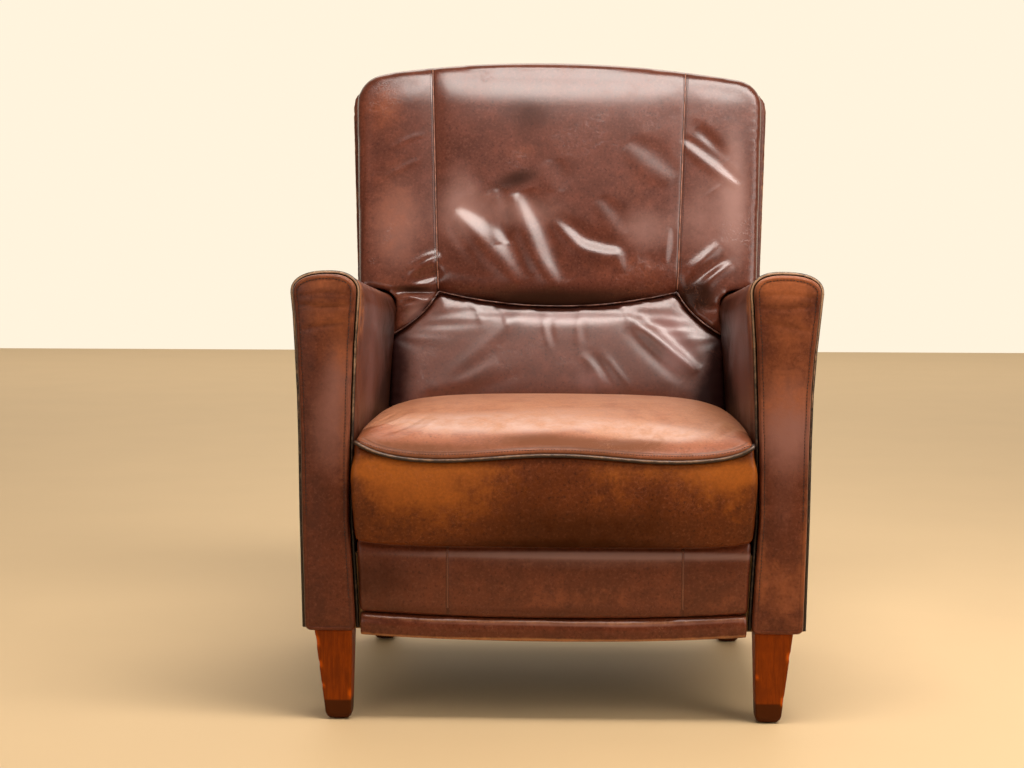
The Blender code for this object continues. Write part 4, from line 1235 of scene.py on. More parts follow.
class CLUBCHAIR_OT_seat(bpy.types.Operator):
    """Build the crowned seat cushion with its boxing, piping and stitched band"""
    bl_idname = "club_chair.seat"
    bl_label = "Seat cushion"

    def execute(self, context):
        leather = context.scene.club_chair_leather
        sewing = context.scene.club_chair_sewing
        builder = bmesh.new()
        bmesh.ops.create_cube(builder, size=2.0)
        bmesh.ops.subdivide_edges(builder, edges=builder.edges[:], cuts=35, use_grid_fill=True)
        for vert in builder.verts:
            u, v, w = vert.co
            v = -1 + 2 * ((v + 1) / 2) ** SEAT_MESH_BIAS
            vert.co = seat_point(u, v, w)
        cushion = add_piece("seat_cover", builder)
        remesh(cushion, sewing.voxel, 2)
        x, y, z = points_of(cushion).T
        at_welt = np.hypot(y - WELT_Y, z - np.vectorize(welt_z)(x))
        sewn = np.maximum.reduce([1 - ease(at_welt, 0.006, 0.022),
                                  1 - ease(z, SEAT_BOTTOM + 0.004, SEAT_BOTTOM + 0.020),
                                  ease(np.abs(x), SEAT_HALF - 0.012, SEAT_HALF - 0.002),
                                  ease(y, SEAT_REAR - 0.05, SEAT_REAR - 0.01)])
        settle(cushion, sewn, sewing, 0.005)
        refine(cushion)
        points = points_of(cushion)
        normals = normals_of(cushion)
        above = points[:, 2] - np.vectorize(welt_z)(points[:, 0])
        near_front = 1 - ease(points[:, 1], WELT_Y + 0.016, WELT_Y + 0.024)
        band = (ease(above, BAND_LOW - 0.002, BAND_LOW)
                * (1 - ease(above, BAND_HIGH, BAND_HIGH + 0.002)))
        tuck = np.exp(-(above / 0.0035) ** 2)
        row = np.exp(-((above - BAND_HIGH + 0.0012) / 0.0014) ** 2)
        lift = near_front * (0.0012 * band - 0.0026 * tuck - 0.0008 * row)
        points = points + normals * lift[:, None]
        x, y, z = points.T
        proud = (y < ARM_FRONT - 0.002) & (above < 0)
        share = np.clip((z - SEAT_BOTTOM) / 0.14, 0, 1)
        bulge = 0.0050 * np.sin(np.pi * share ** 2.0)
        x += np.where(proud, np.sign(x) * bulge * ease(np.abs(x), SEAT_HALF - 0.05, SEAT_HALF), 0)
        move_points(cushion, points)
        flat_top, flat_box = points[:, :2], points[:, [0, 2]]
        top = (above > 0.004) & (normals[:, 2] > 0.15)
        push = top[:, None] * np.array((0.0, 0.0, 1.0)) * ease(above, 0.010, 0.022)[:, None]
        press(cushion, flat_top, push, SEAT_FOLDS)
        is_top = ease(above, -0.001, 0.001)
        low_front = near_front * (1 - ease(above, BAND_HIGH - 0.001, BAND_HIGH + 0.002))
        # painted_front_shade is painted shade on the front roll above the piping: there the seat
        # gets less rubbed colour, more dark and almost none of its painted sheen.
        painted_front_shade = 1 - ease(above, 0.014, 0.036 + 0.020 * ease(-x, 0.0, 0.2))
        painted_front_shade = painted_front_shade * (y < -0.34)
        mark(cushion, "wear", is_top * (0.66 - 0.46 * painted_front_shade - 0.10 * low_front)
             + (1 - is_top) * blobs(flat_box, BOX_WEAR))
        mark(cushion, "grime", is_top * np.maximum(blobs(flat_top, SEAT_GRIME_AND_SHADE) + 0.44 * painted_front_shade,
                                                  0.58 * low_front)
             + (1 - is_top) * blobs(flat_box, BOX_GRIME_AND_SHADE))
        mark(cushion, "bloom", is_top * blobs(flat_top, SEAT_PAINTED_SHEEN) * (1 - 0.9 * painted_front_shade))
        mark(cushion, "seam_band", np.where((near_front > 0.5) & (above > 0),
                                            above - BAND_HIGH + 0.001, FAR_FROM_SEAM))
        hide = make_leather("rubbed_cowhide_seat", leather.seat_top, linear("b8805e"),
                            linear("74452c"), linear("c8a79b"), leather,
                            seams={"seam_band": (0.0015, 0.0005, 0.60)}, roughness=0.40,
                            relief=0.6, ragged=0.7, speckle=1.0)
        boxing = make_leather("rubbed_cowhide_boxing", leather.seat_box, linear("944f13"),
                              linear("351805"), linear("8a5a44"), leather, roughness=0.48,
                              wax=0.0, gloss=0.2, relief=0.8, speckle=1.3, ragged=0.6)
        dress(cushion, hide, boxing)
        corners = np.empty(len(cushion.data.loops), np.int32)
        cushion.data.loops.foreach_get("vertex_index", corners)
        starts = np.empty(len(cushion.data.polygons), np.int32)
        cushion.data.polygons.foreach_get("loop_start", starts)
        on_box = np.add.reduceat(is_top[corners], starts) < 2.0
        cushion.data.polygons.foreach_set("material_index", on_box.astype(np.int32))
        own(cushion, "seat_leather", "seat_cushion")

        thread = make_thread("waxed_thread_seat", linear("3a2017"))
        span = spread(-0.282, 0.282, 90)
        row = [(x, WELT_Y + 0.001, welt_z(x) + BAND_HIGH - 0.0012) for x in span]
        stitch_rows("seat_stitching", cushion, [row], sewing, thread, "seat_leather", sink=-0.1)
        cord = make_piping("polished_piping_seat", linear("24150f"), linear("8f6a4c"))
        line = [(x, WELT_Y, welt_z(x))
                for x in spread(-SEAT_HALF + 0.0025, SEAT_HALF - 0.0025, 60)]
        ends = [(side * (SEAT_HALF - 0.0015), WELT_Y + 0.006, welt_z(SEAT_HALF) + 0.001)
                for side in (-1, 1)]
        welt = round_cord("seat_piping", [ends[0], *line, ends[1]], WELT_RADIUS * 0.95, cord,
                          "piping")
        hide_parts("seat_welt")
        crest = normals_of(welt) @ np.array((0.0, -0.88, 0.48))
        mark(welt, "wear", 0.48 * ease(crest, 0.55, 0.95))
        return {"FINISHED"}


# ---------------------------------------------------------------- base
BASE_SEAMS = (-0.153, 0.187)
BASE_BOW = 0.0085
BASE_HALF = 0.281
BASE_FOOT_HALF, BASE_HEAD_HALF = 0.2812, 0.2850


def bowed(x):
    """How far the lower edge of the base rises away from the middle."""
    return BASE_BOW * np.clip(np.abs(x) / BASE_HALF, 0, 1) ** 2


class CLUBCHAIR_OT_base(bpy.types.Operator):
    """Build the panel and the rolled band under the seat"""
    bl_idname = "club_chair.base"
    bl_label = "Base panel and band"

    def execute(self, context):
        leather = context.scene.club_chair_leather
        lowest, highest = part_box("base_front_panel")
        builder = bmesh.new()
        outline = [(-BASE_FOOT_HALF, lowest.z), (BASE_FOOT_HALF, lowest.z),
                   (BASE_HEAD_HALF, highest.z), (-BASE_HEAD_HALF, highest.z)]
        face = outline_face(builder, [(x, lowest.y + 0.0015, z) for x, z in outline])
        pull_face(builder, face, (0.0, highest.y - lowest.y - 0.0015, 0.0))
        round_off(builder, builder.edges[:], 0.004)
        panel = add_piece("base_panel", builder)
        remesh(panel, 0.0035, 3)
        points = points_of(panel)
        normals = normals_of(panel)
        front = ease(-normals[:, 1], 0.4, 0.9)
        x, y, z = points.T
        middle = (z - lowest.z) / (highest.z - lowest.z)
        crown = (0.0026 * np.sin(np.pi * np.clip(middle, 0, 1))
                 - 0.0070 * np.clip((middle - 0.84) / 0.16, 0, 1) ** 2)
        gaps = [x - seam for seam in BASE_SEAMS]
        nearest = np.where(np.abs(gaps[0]) < np.abs(gaps[1]), gaps[0], gaps[1])
        dip = 0.0012 * np.exp(-(nearest / 0.0030) ** 2) + 0.0010 * np.exp(-(nearest / 0.012) ** 2)
        wave = 0.0008 * np.sin(x * 41) * np.sin(x * 17 + 1.0)
        y -= front * (crown - dip + wave)
        height = np.clip(middle, 0, 1)
        z += height * (np.vectorize(lifted_end)(x) + 0.0030)
        z += (1 - height) * (bowed(x) - 0.0105)
        move_points(panel, points)
        flat = points[:, [0, 2]]
        mark(panel, "seam_low", nearest)
        # The grime strip along the bottom edge is painted shade in the gap above the band, and
        # the spots at the ends darken the panel beside the arms; the bloom strips are a painted
        # highlight along the top edge, where the panel rolls under the cushion.
        paint(panel, flat,
              wear=[((0.03, 0.185), (0.13, 0.03), 0, 0.45),
                    ((0.25, 0.180), (0.04, 0.02), 0, 0.40)],
              grime=[((0.0, lowest.z), (0.30, 0.010), 0, 0.45),
                     ((-0.26, 0.21), (0.08, 0.05), 0, 0.60),
                     ((0.25, 0.235), (0.05, 0.02), 0, 0.40)],
              bloom=[((0.05, 0.236), (0.26, 0.016), 0, 0.40),
                     ((0.10, 0.2470), (0.34, 0.0055), 0, 0.95)])
        hide = make_leather("waxed_cowhide_base", blend(leather.arm_hide, leather.rubbed, 0.10),
                            leather.rubbed, leather.grime, linear("84625a"), leather,
                            seams={"seam_low": (0.0030, 0.0010, 0.40)}, roughness=0.38, wax=0.0,
                            gloss=0.3, relief=0.6, ragged=0.6)
        dress(panel, hide)
        own(panel, "base_leather", "base_front_panel")

        low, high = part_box("base_roll_band")
        builder = bmesh.new()
        back = high.y
        section = [(back, low.z), (low.y + 0.006, low.z), (low.y + 0.0012, low.z + 0.006),
                   (low.y, 0.146), (low.y + 0.002, 0.155), (low.y + 0.006, 0.161),
                   (low.y + 0.012, high.z), (back, high.z)]
        face = outline_face(builder, [(low.x, y, z) for y, z in section])
        pull_face(builder, face, (high.x - low.x, 0.0, 0.0))
        band = add_piece("base_band", builder)
        remesh(band, 0.0030, 2)
        points = points_of(band)
        front = ease(-normals_of(band)[:, 1], 0.2, 0.8)
        x, y, z = points.T
        y -= front * (0.0010 * np.sin(x * 23 + 0.7) + 0.0005 * np.sin(x * 71))
        height = (z - low.z) / (high.z - low.z)
        z += 0.0010 * np.sin(x * 19 + 2.0) * front + bowed(x)
        z -= 0.0060 + 0.0050 * height
        move_points(band, points)
        flat = np.stack([x, low.z + height * (high.z - low.z)], axis=1)
        # The bloom strip is a painted highlight along the band's top edge.
        paint(band, flat, wear=[((0.0, low.z + 0.003), (0.60, 0.004), 0, 0.85),
                                ((0.0, high.z - 0.006), (0.60, 0.003), 0, 0.55)],
              bloom=[((0.08, high.z - 0.009), (0.40, 0.004), 0, 0.55)],
              grime=[((0.0, 0.140), (0.60, 0.006), 0, 0.35)])
        strip = make_leather("waxed_cowhide_band", blend(leather.arm_hide, leather.rubbed, 0.08),
                             linear("a9744c"), leather.grime, linear("a57a6a"), leather,
                             gloss=0.25, relief=0.6, ragged=0.5)
        dress(band, strip)
        own(band, "base_leather", "base_roll_band")

        edge = make_piping("turned_seam_edge_base", linear("6a3b26"), linear("a5673f"))
        for name, x in zip(("left", "right"), BASE_SEAMS):
            line = [(x, z) for z in spread(lowest.z + 0.004, highest.z - 0.002, 30)]
            piece = round_cord("base_seam_" + name, dropped(line, [panel], 0.0), 0.0014, edge,
                               "base_leather")
            mark(piece, "wear", 0.22)
        return {"FINISHED"}


# ---------------------------------------------------------------- arms
ARM_TOPSTITCH = 0.0068
ARM_CORNER = 0.008
ARM_PAD_INNER = 0.3050
# spots on an arm's front, as (distance from the chair's middle, height)
ARM_WEAR = {
    -1: [
        ((0.325, 0.64), (0.045, 0.014), 0, 0.6), ((0.33, 0.6), (0.045, 0.03), 0, 0.5),
        ((0.32, 0.545), (0.04, 0.04), 0, 0.38), ((0.301, 0.45), (0.016, 0.15), 0, 0.46),
        ((0.36, 0.28), (0.006, 0.12), 0, 0.25),
    ],
    1: [
        ((0.325, 0.638), (0.05, 0.022), 0, 0.98), ((0.33, 0.58), (0.05, 0.05), 0, 0.52),
        ((0.33, 0.485), (0.05, 0.06), 0, 0.62), ((0.3, 0.32), (0.008, 0.14), 0, 0.35),
        ((0.358, 0.3), (0.008, 0.14), 0, 0.4), ((0.328, 0.2), (0.045, 0.075), 0, 0.54),
    ],
}
# The thin dark lines across each front are painted shade in creases, and the strip down the left
# arm's outer edge is painted shade too; the larger spots are grime.
ARM_GRIME_AND_SHADE = {
    -1: [
        ((0.31, 0.56), (0.03, 0.02), 0, 0.35), ((0.33, 0.618), (0.04, 0.004), 3, 0.45),
        ((0.325, 0.604), (0.04, 0.003), -3, 0.5), ((0.32, 0.578), (0.035, 0.004), -6, 0.4),
        ((0.325, 0.28), (0.045, 0.09), 0, 0.3), ((0.372, 0.45), (0.008, 0.16), 0, 0.45),
    ],
    1: [
        ((0.325, 0.596), (0.04, 0.004), 0, 0.35), ((0.325, 0.345), (0.035, 0.035), 0, 0.36),
        ((0.325, 0.51), (0.04, 0.003), 0, 0.4),
    ],
}
# Painted reflection: the pale mauve sheen over the middle of each arm's front, most on the right,
# and a painted highlight along the right arm's top.
ARM_PAINTED_SHEEN = {
    -1: [
        ((0.32, 0.43), (0.036, 0.09), 0, 0.66), ((0.305, 0.52), (0.024, 0.06), 0, 0.5),
    ],
    1: [
        ((0.332, 0.44), (0.044, 0.08), 0, 1.0), ((0.325, 0.637), (0.05, 0.016), 0, 0.42),
        ((0.325, 0.3), (0.025, 0.05), 0, 0.3),
    ],
}
ARM_FOLDS = [
    ([(0.29, 0.6205), (0.325, 0.6235), (0.366, 0.619)], -0.001, 0.0035),
    ([(0.288, 0.606), (0.325, 0.603), (0.368, 0.608)], -0.0011, 0.0035),
    ([(0.292, 0.584), (0.325, 0.578), (0.364, 0.57)], -0.0009, 0.004),
]
INNER_ARM_FOLDS = [
    ([(-0.33, 0.585), (-0.2, 0.56), (-0.08, 0.5)], 0.0025, 0.02),
    ([(-0.12, 0.58), (-0.02, 0.54), (0.06, 0.48)], -0.0025, 0.018),
    ([(0.02, 0.585), (0.09, 0.56), (0.14, 0.52)], 0.003, 0.014),
    ([(-0.385, 0.5), (-0.36, 0.45), (-0.35, 0.4)], 0.0015, 0.008),
]


def side_name(side):
    return "left" if side < 0 else "right"


def facing_outline():
    """Outline of an arm's front panel, inside the piping round it."""
    feet = [(ARM_INNER[0][0] + FACING_INSET, FRAME_BOTTOM),
            (ARM_OUTER[-1][0] - FACING_INSET, FRAME_BOTTOM)]
    return [feet[0], *offset_line(arm_outline(12), -FACING_INSET)[1:-1], feet[1]]


def arm_front(side, hide, sewing):
    """The slim padded panel on an arm's front, topstitched inside its edge."""
    name = side_name(side)
    builder = bmesh.new()
    outline = facing_outline()
    face = outline_face(builder, [(side * x, ARM_FRONT + 0.0012, z) for x, z in outline])
    low_corners = [v for v in builder.verts if v.co.z < FRAME_BOTTOM + 0.001]
    round_off(builder, low_corners, ARM_CORNER, 5, "VERTICES")
    face = builder.faces[:][0]
    rim = [v.co.xz.copy() for v in face.verts]
    pull_face(builder, face, (0.0, PANEL_BACK - ARM_FRONT - 0.0012, 0.0))
    front_edges = [e for e in builder.edges if all(v.co.y < ARM_FRONT + 0.002 for v in e.verts)]
    round_off(builder, front_edges, 0.0042)
    panel = add_piece("arm_front_" + name, builder)
    remesh(panel, 0.0026, 3)
    points = points_of(panel)
    flat = np.stack([np.abs(points[:, 0]), points[:, 2]], axis=1)
    closed = [(abs(p[0]), p[1]) for p in [*rim, rim[0]]]
    inside = np.abs(line_distance(flat, closed)[0])
    front = ease(-normals_of(panel)[:, 1], 0.3, 0.9)
    stitched = inside - ARM_TOPSTITCH
    crown = 0.0020 * ease(inside, 0.006, 0.030)
    puff = 0.0006 * np.exp(-((inside - 0.0035) / 0.0025) ** 2)
    groove = 0.0010 * np.exp(-(stitched / 0.0018) ** 2)
    points[:, 1] -= front * (crown + puff - groove)
    move_points(panel, spread_arm(points, side))
    push = front[:, None] * np.array((0.0, -1.0, 0.0))
    press(panel, flat, push, ARM_FOLDS)
    flap = 1 - ease(inside, ARM_TOPSTITCH - 0.0016, ARM_TOPSTITCH)
    rim_rub = flap * (0.03 + 0.12 * ease(points[:, 2], 0.60, 0.65))
    mark(panel, "seam_low", stitched)
    mark(panel, "wear", blobs(flat, ARM_WEAR[side]) + rim_rub)
    paint(panel, flat, grime=ARM_GRIME_AND_SHADE[side], bloom=ARM_PAINTED_SHEEN[side])
    dress(panel, hide)
    own(panel, "arm_leather", "arm_front_panel_" + name)
    thread = make_thread("waxed_thread_arm_" + name, linear("1c0d08"))
    centre_line = offset_line(arm_outline(12), -FACING_INSET - ARM_TOPSTITCH)
    row = [(side * x, ARM_FRONT, z) for x, z in centre_line if z > FRAME_BOTTOM + 0.012]
    row = spread_arm(np.array(row), side)
    stitch_rows("arm_stitching_" + name, panel, [row], sewing, thread, "arm_leather", sink=0.3,
                fine=0.85)


def arm_piping(side, cord):
    name = side_name(side)
    seam = offset_line(arm_outline(12), -0.0030)
    low = FRAME_BOTTOM + 0.003
    seam = [p for p in seam if p[1] > low + 0.004]
    y = (PANEL_BACK + COVER_FRONT) / 2
    path = [(side * x, y, z) for x, z in [(0.2844, low), *seam, (0.3588, low)]]
    welt = round_cord("arm_piping_" + name, path, WELT_RADIUS * 0.97, cord, "piping")
    points = points_of(welt)
    flat = np.stack([np.abs(points[:, 0]), points[:, 2]], axis=1)
    clear = np.abs(line_distance(flat, facing_outline())[0])
    crest = ease(-normals_of(welt)[:, 1], 0.55, 0.95)
    mark(welt, "wear", ease(clear, 0.0008, 0.0020) * (0.10 + 0.75 * crest)
         * (0.30 + 0.25 * ease(points[:, 2], 0.36, 0.46) + 0.35 * ease(points[:, 2], 0.50, 0.64)))
    move_points(welt, spread_arm(points, side))
    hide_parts("arm_welt_" + name)


def arm_cover(side, hide, sewing):
    """Padded inner side and top of an arm."""
    name = side_name(side)
    cover = add_piece("arm_cover_" + name, copy_node("arm_pad_" + name))
    remesh(cover, 0.0050, 3)
    x, y, z = points_of(cover).T
    free = np.maximum(ease(ARM_PAD_INNER - np.abs(x), 0.0, 0.008), ease(z, 0.585, 0.600))
    free *= ease(y, COVER_FRONT + 0.004, COVER_FRONT + 0.03)
    free *= 1 - ease(y - pad_end_y(z), -0.04, -0.01)
    settle(cover, 1 - free, sewing, 0.003, share=0.7)
    normals = normals_of(cover)
    points = spread_arm(points_of(cover), side)
    move_points(cover, points)
    flat = points[:, 1:]
    push = ease(-side * normals[:, 0], 0.2, 0.8)[:, None] * np.array((-side, 0.0, 0.0))
    push = push * (np.abs(points[:, 0]) < 0.2998)[:, None]
    press(cover, flat, push, INNER_ARM_FOLDS)
    y, z = flat.T
    near = y - COVER_FRONT
    outwards = ease(near, 0.0, 0.006)
    top = ease(normals[:, 2], 0.1, 0.7)
    mark(cover, "wear", 1.1 * (1 - outwards) + 0.65 * np.exp(-(near / 0.045) ** 2)
         * (0.25 + 0.75 * ease(z, 0.50, 0.62)) + 0.30 * top)
    # grime here is painted shade: darker towards the back and the bottom, less on faces turned
    # up. bloom is a painted sheen on the side faces near the front.
    mark(cover, "grime", 0.75 * ease(y, -0.22, 0.08) * (1 - 0.6 * top)
         + 0.6 * (1 - ease(z, 0.42, 0.50)))
    mark(cover, "bloom", 0.55 * np.exp(-((y + 0.22) / 0.10) ** 2) * (1 - top))
    dress(cover, hide)
    own(cover, "arm_leather", "arm_pad_" + name)


def arm_outside(side, hide):
    """Leather stretched over the outer side of an arm."""
    name = side_name(side)
    cover = taut_cover("arm_outside_" + name, "outer_arm_cover_" + name, 0.0016, 0.0050)
    points = spread_arm(points_of(cover), side)
    normals = normals_of(cover)
    out = ease(side * normals[:, 0], 0.5, 0.9)
    x, y, z = points.T
    slack = 0.0012 * np.sin(y * 13 + z * 7) * np.sin(z * 15 - y * 4 + side)
    x += side * out * (slack - 0.0012)
    move_points(cover, points)
    near, low = y - COVER_FRONT, z - FRAME_BOTTOM
    mark(cover, "wear", 0.8 * np.exp(-(near / 0.006) ** 2) + 0.6 * np.exp(-(low / 0.010) ** 2)
         + blobs(points[:, 1:], [((-0.200, 0.250), (0.09, 0.05), 20, 0.30),
                                 ((0.120, 0.420), (0.06, 0.08), 0, 0.25)]))
    # The bloom spot is a painted sheen along the middle of the outer side.
    paint(cover, points[:, 1:], grime=[((0.0, 0.160), (0.40, 0.020), 0, 0.40)],
          bloom=[((-0.080, 0.470), (0.20, 0.07), 0, 0.55)])
    dress(cover, hide)
    own(cover, "outer_leather", "outer_arm_cover_" + name)


class CLUBCHAIR_OT_arms(bpy.types.Operator):
    """Build both arms: front panels, piping, padded covers and outer sides"""
    bl_idname = "club_chair.arms"
    bl_label = "Arms"

    def execute(self, context):
        leather = context.scene.club_chair_leather
        sewing = context.scene.club_chair_sewing
        front = make_leather("waxed_cowhide_arm_front", leather.arm_hide, linear("93522f"),
                             leather.grime, linear("8a5d52"), leather,
                             seams={"seam_low": (0.0014, 0.0004, 0.20)}, roughness=0.42,
                             gloss=0.22, relief=0.7, ragged=0.55)
        cover = make_leather("waxed_cowhide_arm", leather.arm_hide, linear("ad6e42"),
                             leather.grime, linear("78504a"), leather, roughness=0.42,
                             gloss=0.35, relief=0.6)
        cord = make_piping("polished_piping_arm", linear("1a0d08"), linear("b08c6c"))
        for side in (-1, 1):
            arm_front(side, front, sewing)
            arm_piping(side, cord)
            arm_cover(side, cover, sewing)
            arm_outside(side, cover)
        return {"FINISHED"}


# ---------------------------------------------------------------- outer back
class CLUBCHAIR_OT_shell(bpy.types.Operator):
    """Build the outer back panel and the piping round the back"""
    bl_idname = "club_chair.shell"
    bl_label = "Outer back"

    def execute(self, context):
        leather = context.scene.club_chair_leather
        shell = taut_cover("outer_back", "back_shell", 0.0034, 0.0043)
        points = skewed_top(points_of(shell))
        normals = normals_of(shell)
        behind = ease(normals[:, 1], 0.3, 0.9)
        x, y, z = points.T
        share = np.clip((z - FRAME_BOTTOM) / 0.86, 0, 1)
        reach = flared(SHELL_HALF, z)
        hollow = np.cos(np.clip(x / reach, -1, 1) * np.pi / 2) * np.sin(np.pi * share)
        slack = 0.0008 * np.sin(x * 15 + z * 5) * np.sin(z * 11 - x * 4)
        y -= behind * (0.0022 * hollow + slack)
        edge = (np.abs(normals[:, 0]) > 0.45) & (np.abs(z - 0.54) < 0.38)
        x[edge] = np.sign(x[edge]) * (reach[edge] - 0.0004)
        move_points(shell, points)
        rim = reach - np.abs(x)
        mark(shell, "wear", 0.45 * np.exp(-(rim / 0.0030) ** 2) * ease(z, 0.60, 0.66)
             + 0.7 * np.exp(-((z - FRAME_BOTTOM) / 0.010) ** 2)
             + blobs(points[:, [0, 2]], [((0.10, 0.88), (0.15, 0.05), 10, 0.35),
                                         ((-0.22, 0.40), (0.07, 0.10), 0, 0.30)]))
        # The bloom spot is a painted sheen across the middle of the outer back.
        paint(shell, points[:, [0, 2]], grime=[((0.0, 0.16), (0.40, 0.02), 0, 0.4)],
              bloom=[((0.0, 0.62), (0.25, 0.16), 0, 0.45)])
        hide = make_leather("waxed_cowhide_outer_back", leather.arm_hide, linear("b98a5c"),
                            leather.grime, linear("7d5a52"), leather, roughness=0.42, gloss=0.35)
        dress(shell, hide)
        own(shell, "outer_leather", "back_shell")

        cord = make_piping("polished_piping_back", linear("2a1811"), linear("cdae8f"))
        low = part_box("back_welt")[0].z + WELT_RADIUS
        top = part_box("back_welt")[1].z - WELT_RADIUS
        half = [(flared(WELT_HALF, z), z) for z in (low, 0.70, 0.80)]
        half += back_arch(WELT_HALF, top, WELT_CORNER)
        path = half + [(-x, z) for x, z in reversed(half[:-1])]
        points = [(x, rear_y(z) - BACK_WELT_GAP, z) for x, z in path]
        welt = round_cord("back_piping", points, WELT_RADIUS * 0.97, cord, "piping")
        places = skewed_top(points_of(welt))
        outer = ease(np.abs(normals_of(welt)[:, 0]), 0.2, 0.8)
        move_points(welt, places)
        mark(welt, "wear", 0.85 * outer + 0.15 * ease(places[:, 2], 0.97, 0.99))
        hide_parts("back_welt")
        return {"FINISHED"}


# ---------------------------------------------------------------- timber and hidden parts
CHIP_REACH = 0.005
CHIP_SEEN = 0.0002
CHIP_BARE = 0.0009
# for each leg's chips: the corner's two signs, its height, half length and depth
LEG_CHIPS = {("front", -1): [(-1, -1, 0.118, 0.006, 0.0022), (-1, -1, 0.084, 0.004, 0.0014),
                             (1, -1, 0.040, 0.005, 0.0012), (-1, -1, 0.052, 0.003, 0.0010)],
             ("front", 1): [(1, -1, 0.100, 0.005, 0.0014), (-1, -1, 0.070, 0.003, 0.0010),
                            (1, -1, 0.034, 0.005, 0.0016)],
             ("rear", -1): [(-1, 1, 0.060, 0.005, 0.0014)],
             ("rear", 1): [(1, 1, 0.080, 0.005, 0.0014)]}


def leg_section(place, side, share):
    """Middle and half width of a leg's section, from its foot at 0 to its top at 1."""
    top, foot = LEG_PLACES[place]
    x, y = (low + (high - low) * share for low, high in zip(foot, top))
    return side * x, y, LEG_FOOT_HALF + (LEG_TOP_HALF - LEG_FOOT_HALF) * share


def tapered_leg(place, side, timber, settings):
    """A square leg that narrows to its foot, its edges rounded by wear and chipped."""
    builder = bmesh.new()
    bmesh.ops.create_cube(builder, size=2.0)
    level = [e for e in builder.edges if abs(e.verts[0].co.z - e.verts[1].co.z) < 1.0]
    bmesh.ops.subdivide_edges(builder, edges=level, cuts=6, use_grid_fill=True)
    upright = [e for e in builder.edges if abs(e.verts[0].co.z - e.verts[1].co.z) > 1.0]
    bmesh.ops.subdivide_edges(builder, edges=upright, cuts=44, use_grid_fill=True)
    for vert in builder.verts:
        share = (vert.co.z + 1) / 2
        z = LEG_FOOT_Z + (LEG_TOP_Z - LEG_FOOT_Z) * share
        x, y, half = leg_section(place, side, share)
        half -= LEG_FOOT_ROUND * float(ease(LEG_FOOT_Z + LEG_FOOT_ROUND - z, 0.0, 0.0035))
        vert.co = Vector((x + vert.co.x * half, y + vert.co.y * half, z))
    corners = [e for e in builder.edges if len(e.link_faces) == 2
               and e.link_faces[0].normal.angle(e.link_faces[1].normal, 0) > 0.6
               and abs(e.verts[0].co.z - e.verts[1].co.z) > 1e-4]
    round_off(builder, corners, settings.edge_round)
    bmesh.ops.recalc_face_normals(builder, faces=builder.faces)
    chipped = []
    for vert in builder.verts:
        share = (vert.co.z - LEG_FOOT_Z) / (LEG_TOP_Z - LEG_FOOT_Z)
        cx, cy, half = leg_section(place, side, share)
        lost = 0.0
        for sx, sy, z, tall, deep in LEG_CHIPS[place, side]:
            corner = math.hypot(vert.co.x - cx - sx * half, vert.co.y - cy - sy * half)
            if corner < CHIP_REACH:
                lost = max(lost, deep * math.exp(-((vert.co.z - z) / tall) ** 2))
        if lost > CHIP_SEEN:
            vert.co.x -= lost * math.copysign(0.7, vert.co.x - cx)
            vert.co.y -= lost * math.copysign(0.7, vert.co.y - cy)
        chipped.append(min(1.0, lost / CHIP_BARE))
    name = place + "_leg_" + side_name(side)
    leg = add_piece("tapered_" + name, builder, [timber])
    mark(leg, "chip", chipped)
    heights = points_of(leg)[:, 2]
    mark(leg, "tip", 1 - ease(heights, LEG_TIP_Z - LEG_TIP_BLUR, LEG_TIP_Z + LEG_TIP_BLUR))
    leg.data.shade_smooth()
    leg.data.set_sharp_from_angle(angle=math.radians(40))
    own(leg, "leg_wood", name)


class CLUBCHAIR_OT_legs(bpy.types.Operator):
    """Build the four tapered legs"""
    bl_idname = "club_chair.legs"
    bl_label = "Legs"

    def execute(self, context):
        timber = context.scene.club_chair_timber
        cherry = make_timber("lacquered_cherry_legs", timber.leg_colour, timber.grain_width,
                             0.46, tip=linear("471d00"))
        cherry.node_tree.nodes["Principled BSDF"].inputs["Specular IOR Level"].default_value = 0.1
        for place in LEG_PLACES:
            for side in (-1, 1):
                tapered_leg(place, side, cherry, timber)
        return {"FINISHED"}


class CLUBCHAIR_OT_carcase(bpy.types.Operator):
    """Give the frame, springs, straps and fixings their finishes"""
    bl_idname = "club_chair.carcase"
    bl_label = "Frame and fixings"

    def execute(self, context):
        timber = context.scene.club_chair_timber
        leather = context.scene.club_chair_leather
        beech = make_timber("sawn_beech_frame", timber.frame_colour, timber.grain_width, 0.7)
        spring = make_plain("drawn_spring_steel", linear("8d8f92"), 0.42, 1.0, 0.004, 0.20)
        zinc = make_plain("zinc_plated_bolt_steel", linear("b9bcc0"), 0.35, 1.0, 0.003, 0.15)
        nylon = make_plain("moulded_nylon_glide", linear("3a302a"), 0.50, 0.0, 0.002, 0.20)
        webbing = make_plain("woven_elastic_webbing", linear("2f2b28"), 0.85, 0.0, 0.0018, 0.45)
        felt = make_plain("needled_felt", linear("8f8a80"), 0.95, 0.0, 0.0030, 0.40)
        # the back posts show in the gap beside the padding, where a cover is turned round them;
        # their hide is darkened to 0.45 as painted shade for that gap
        shaded_post_wrap = make_leather("shaded_cowhide_post_wrap", shade(leather.back_hide, 0.45)[:3],
                            leather.rubbed, leather.grime, leather.rubbed, leather, gloss=0.25)
        finishes = (("spring", spring), ("bolt", zinc), ("glide", nylon), ("strap", webbing),
                    ("deck", felt), ("back_post", shaded_post_wrap), ("back_top_rail", shaded_post_wrap))
        for name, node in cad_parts.items():
            chosen = next((finish for word, finish in finishes if word in name), beech)
            for place in node.material_slots:
                place.material = chosen
        return {"FINISHED"}


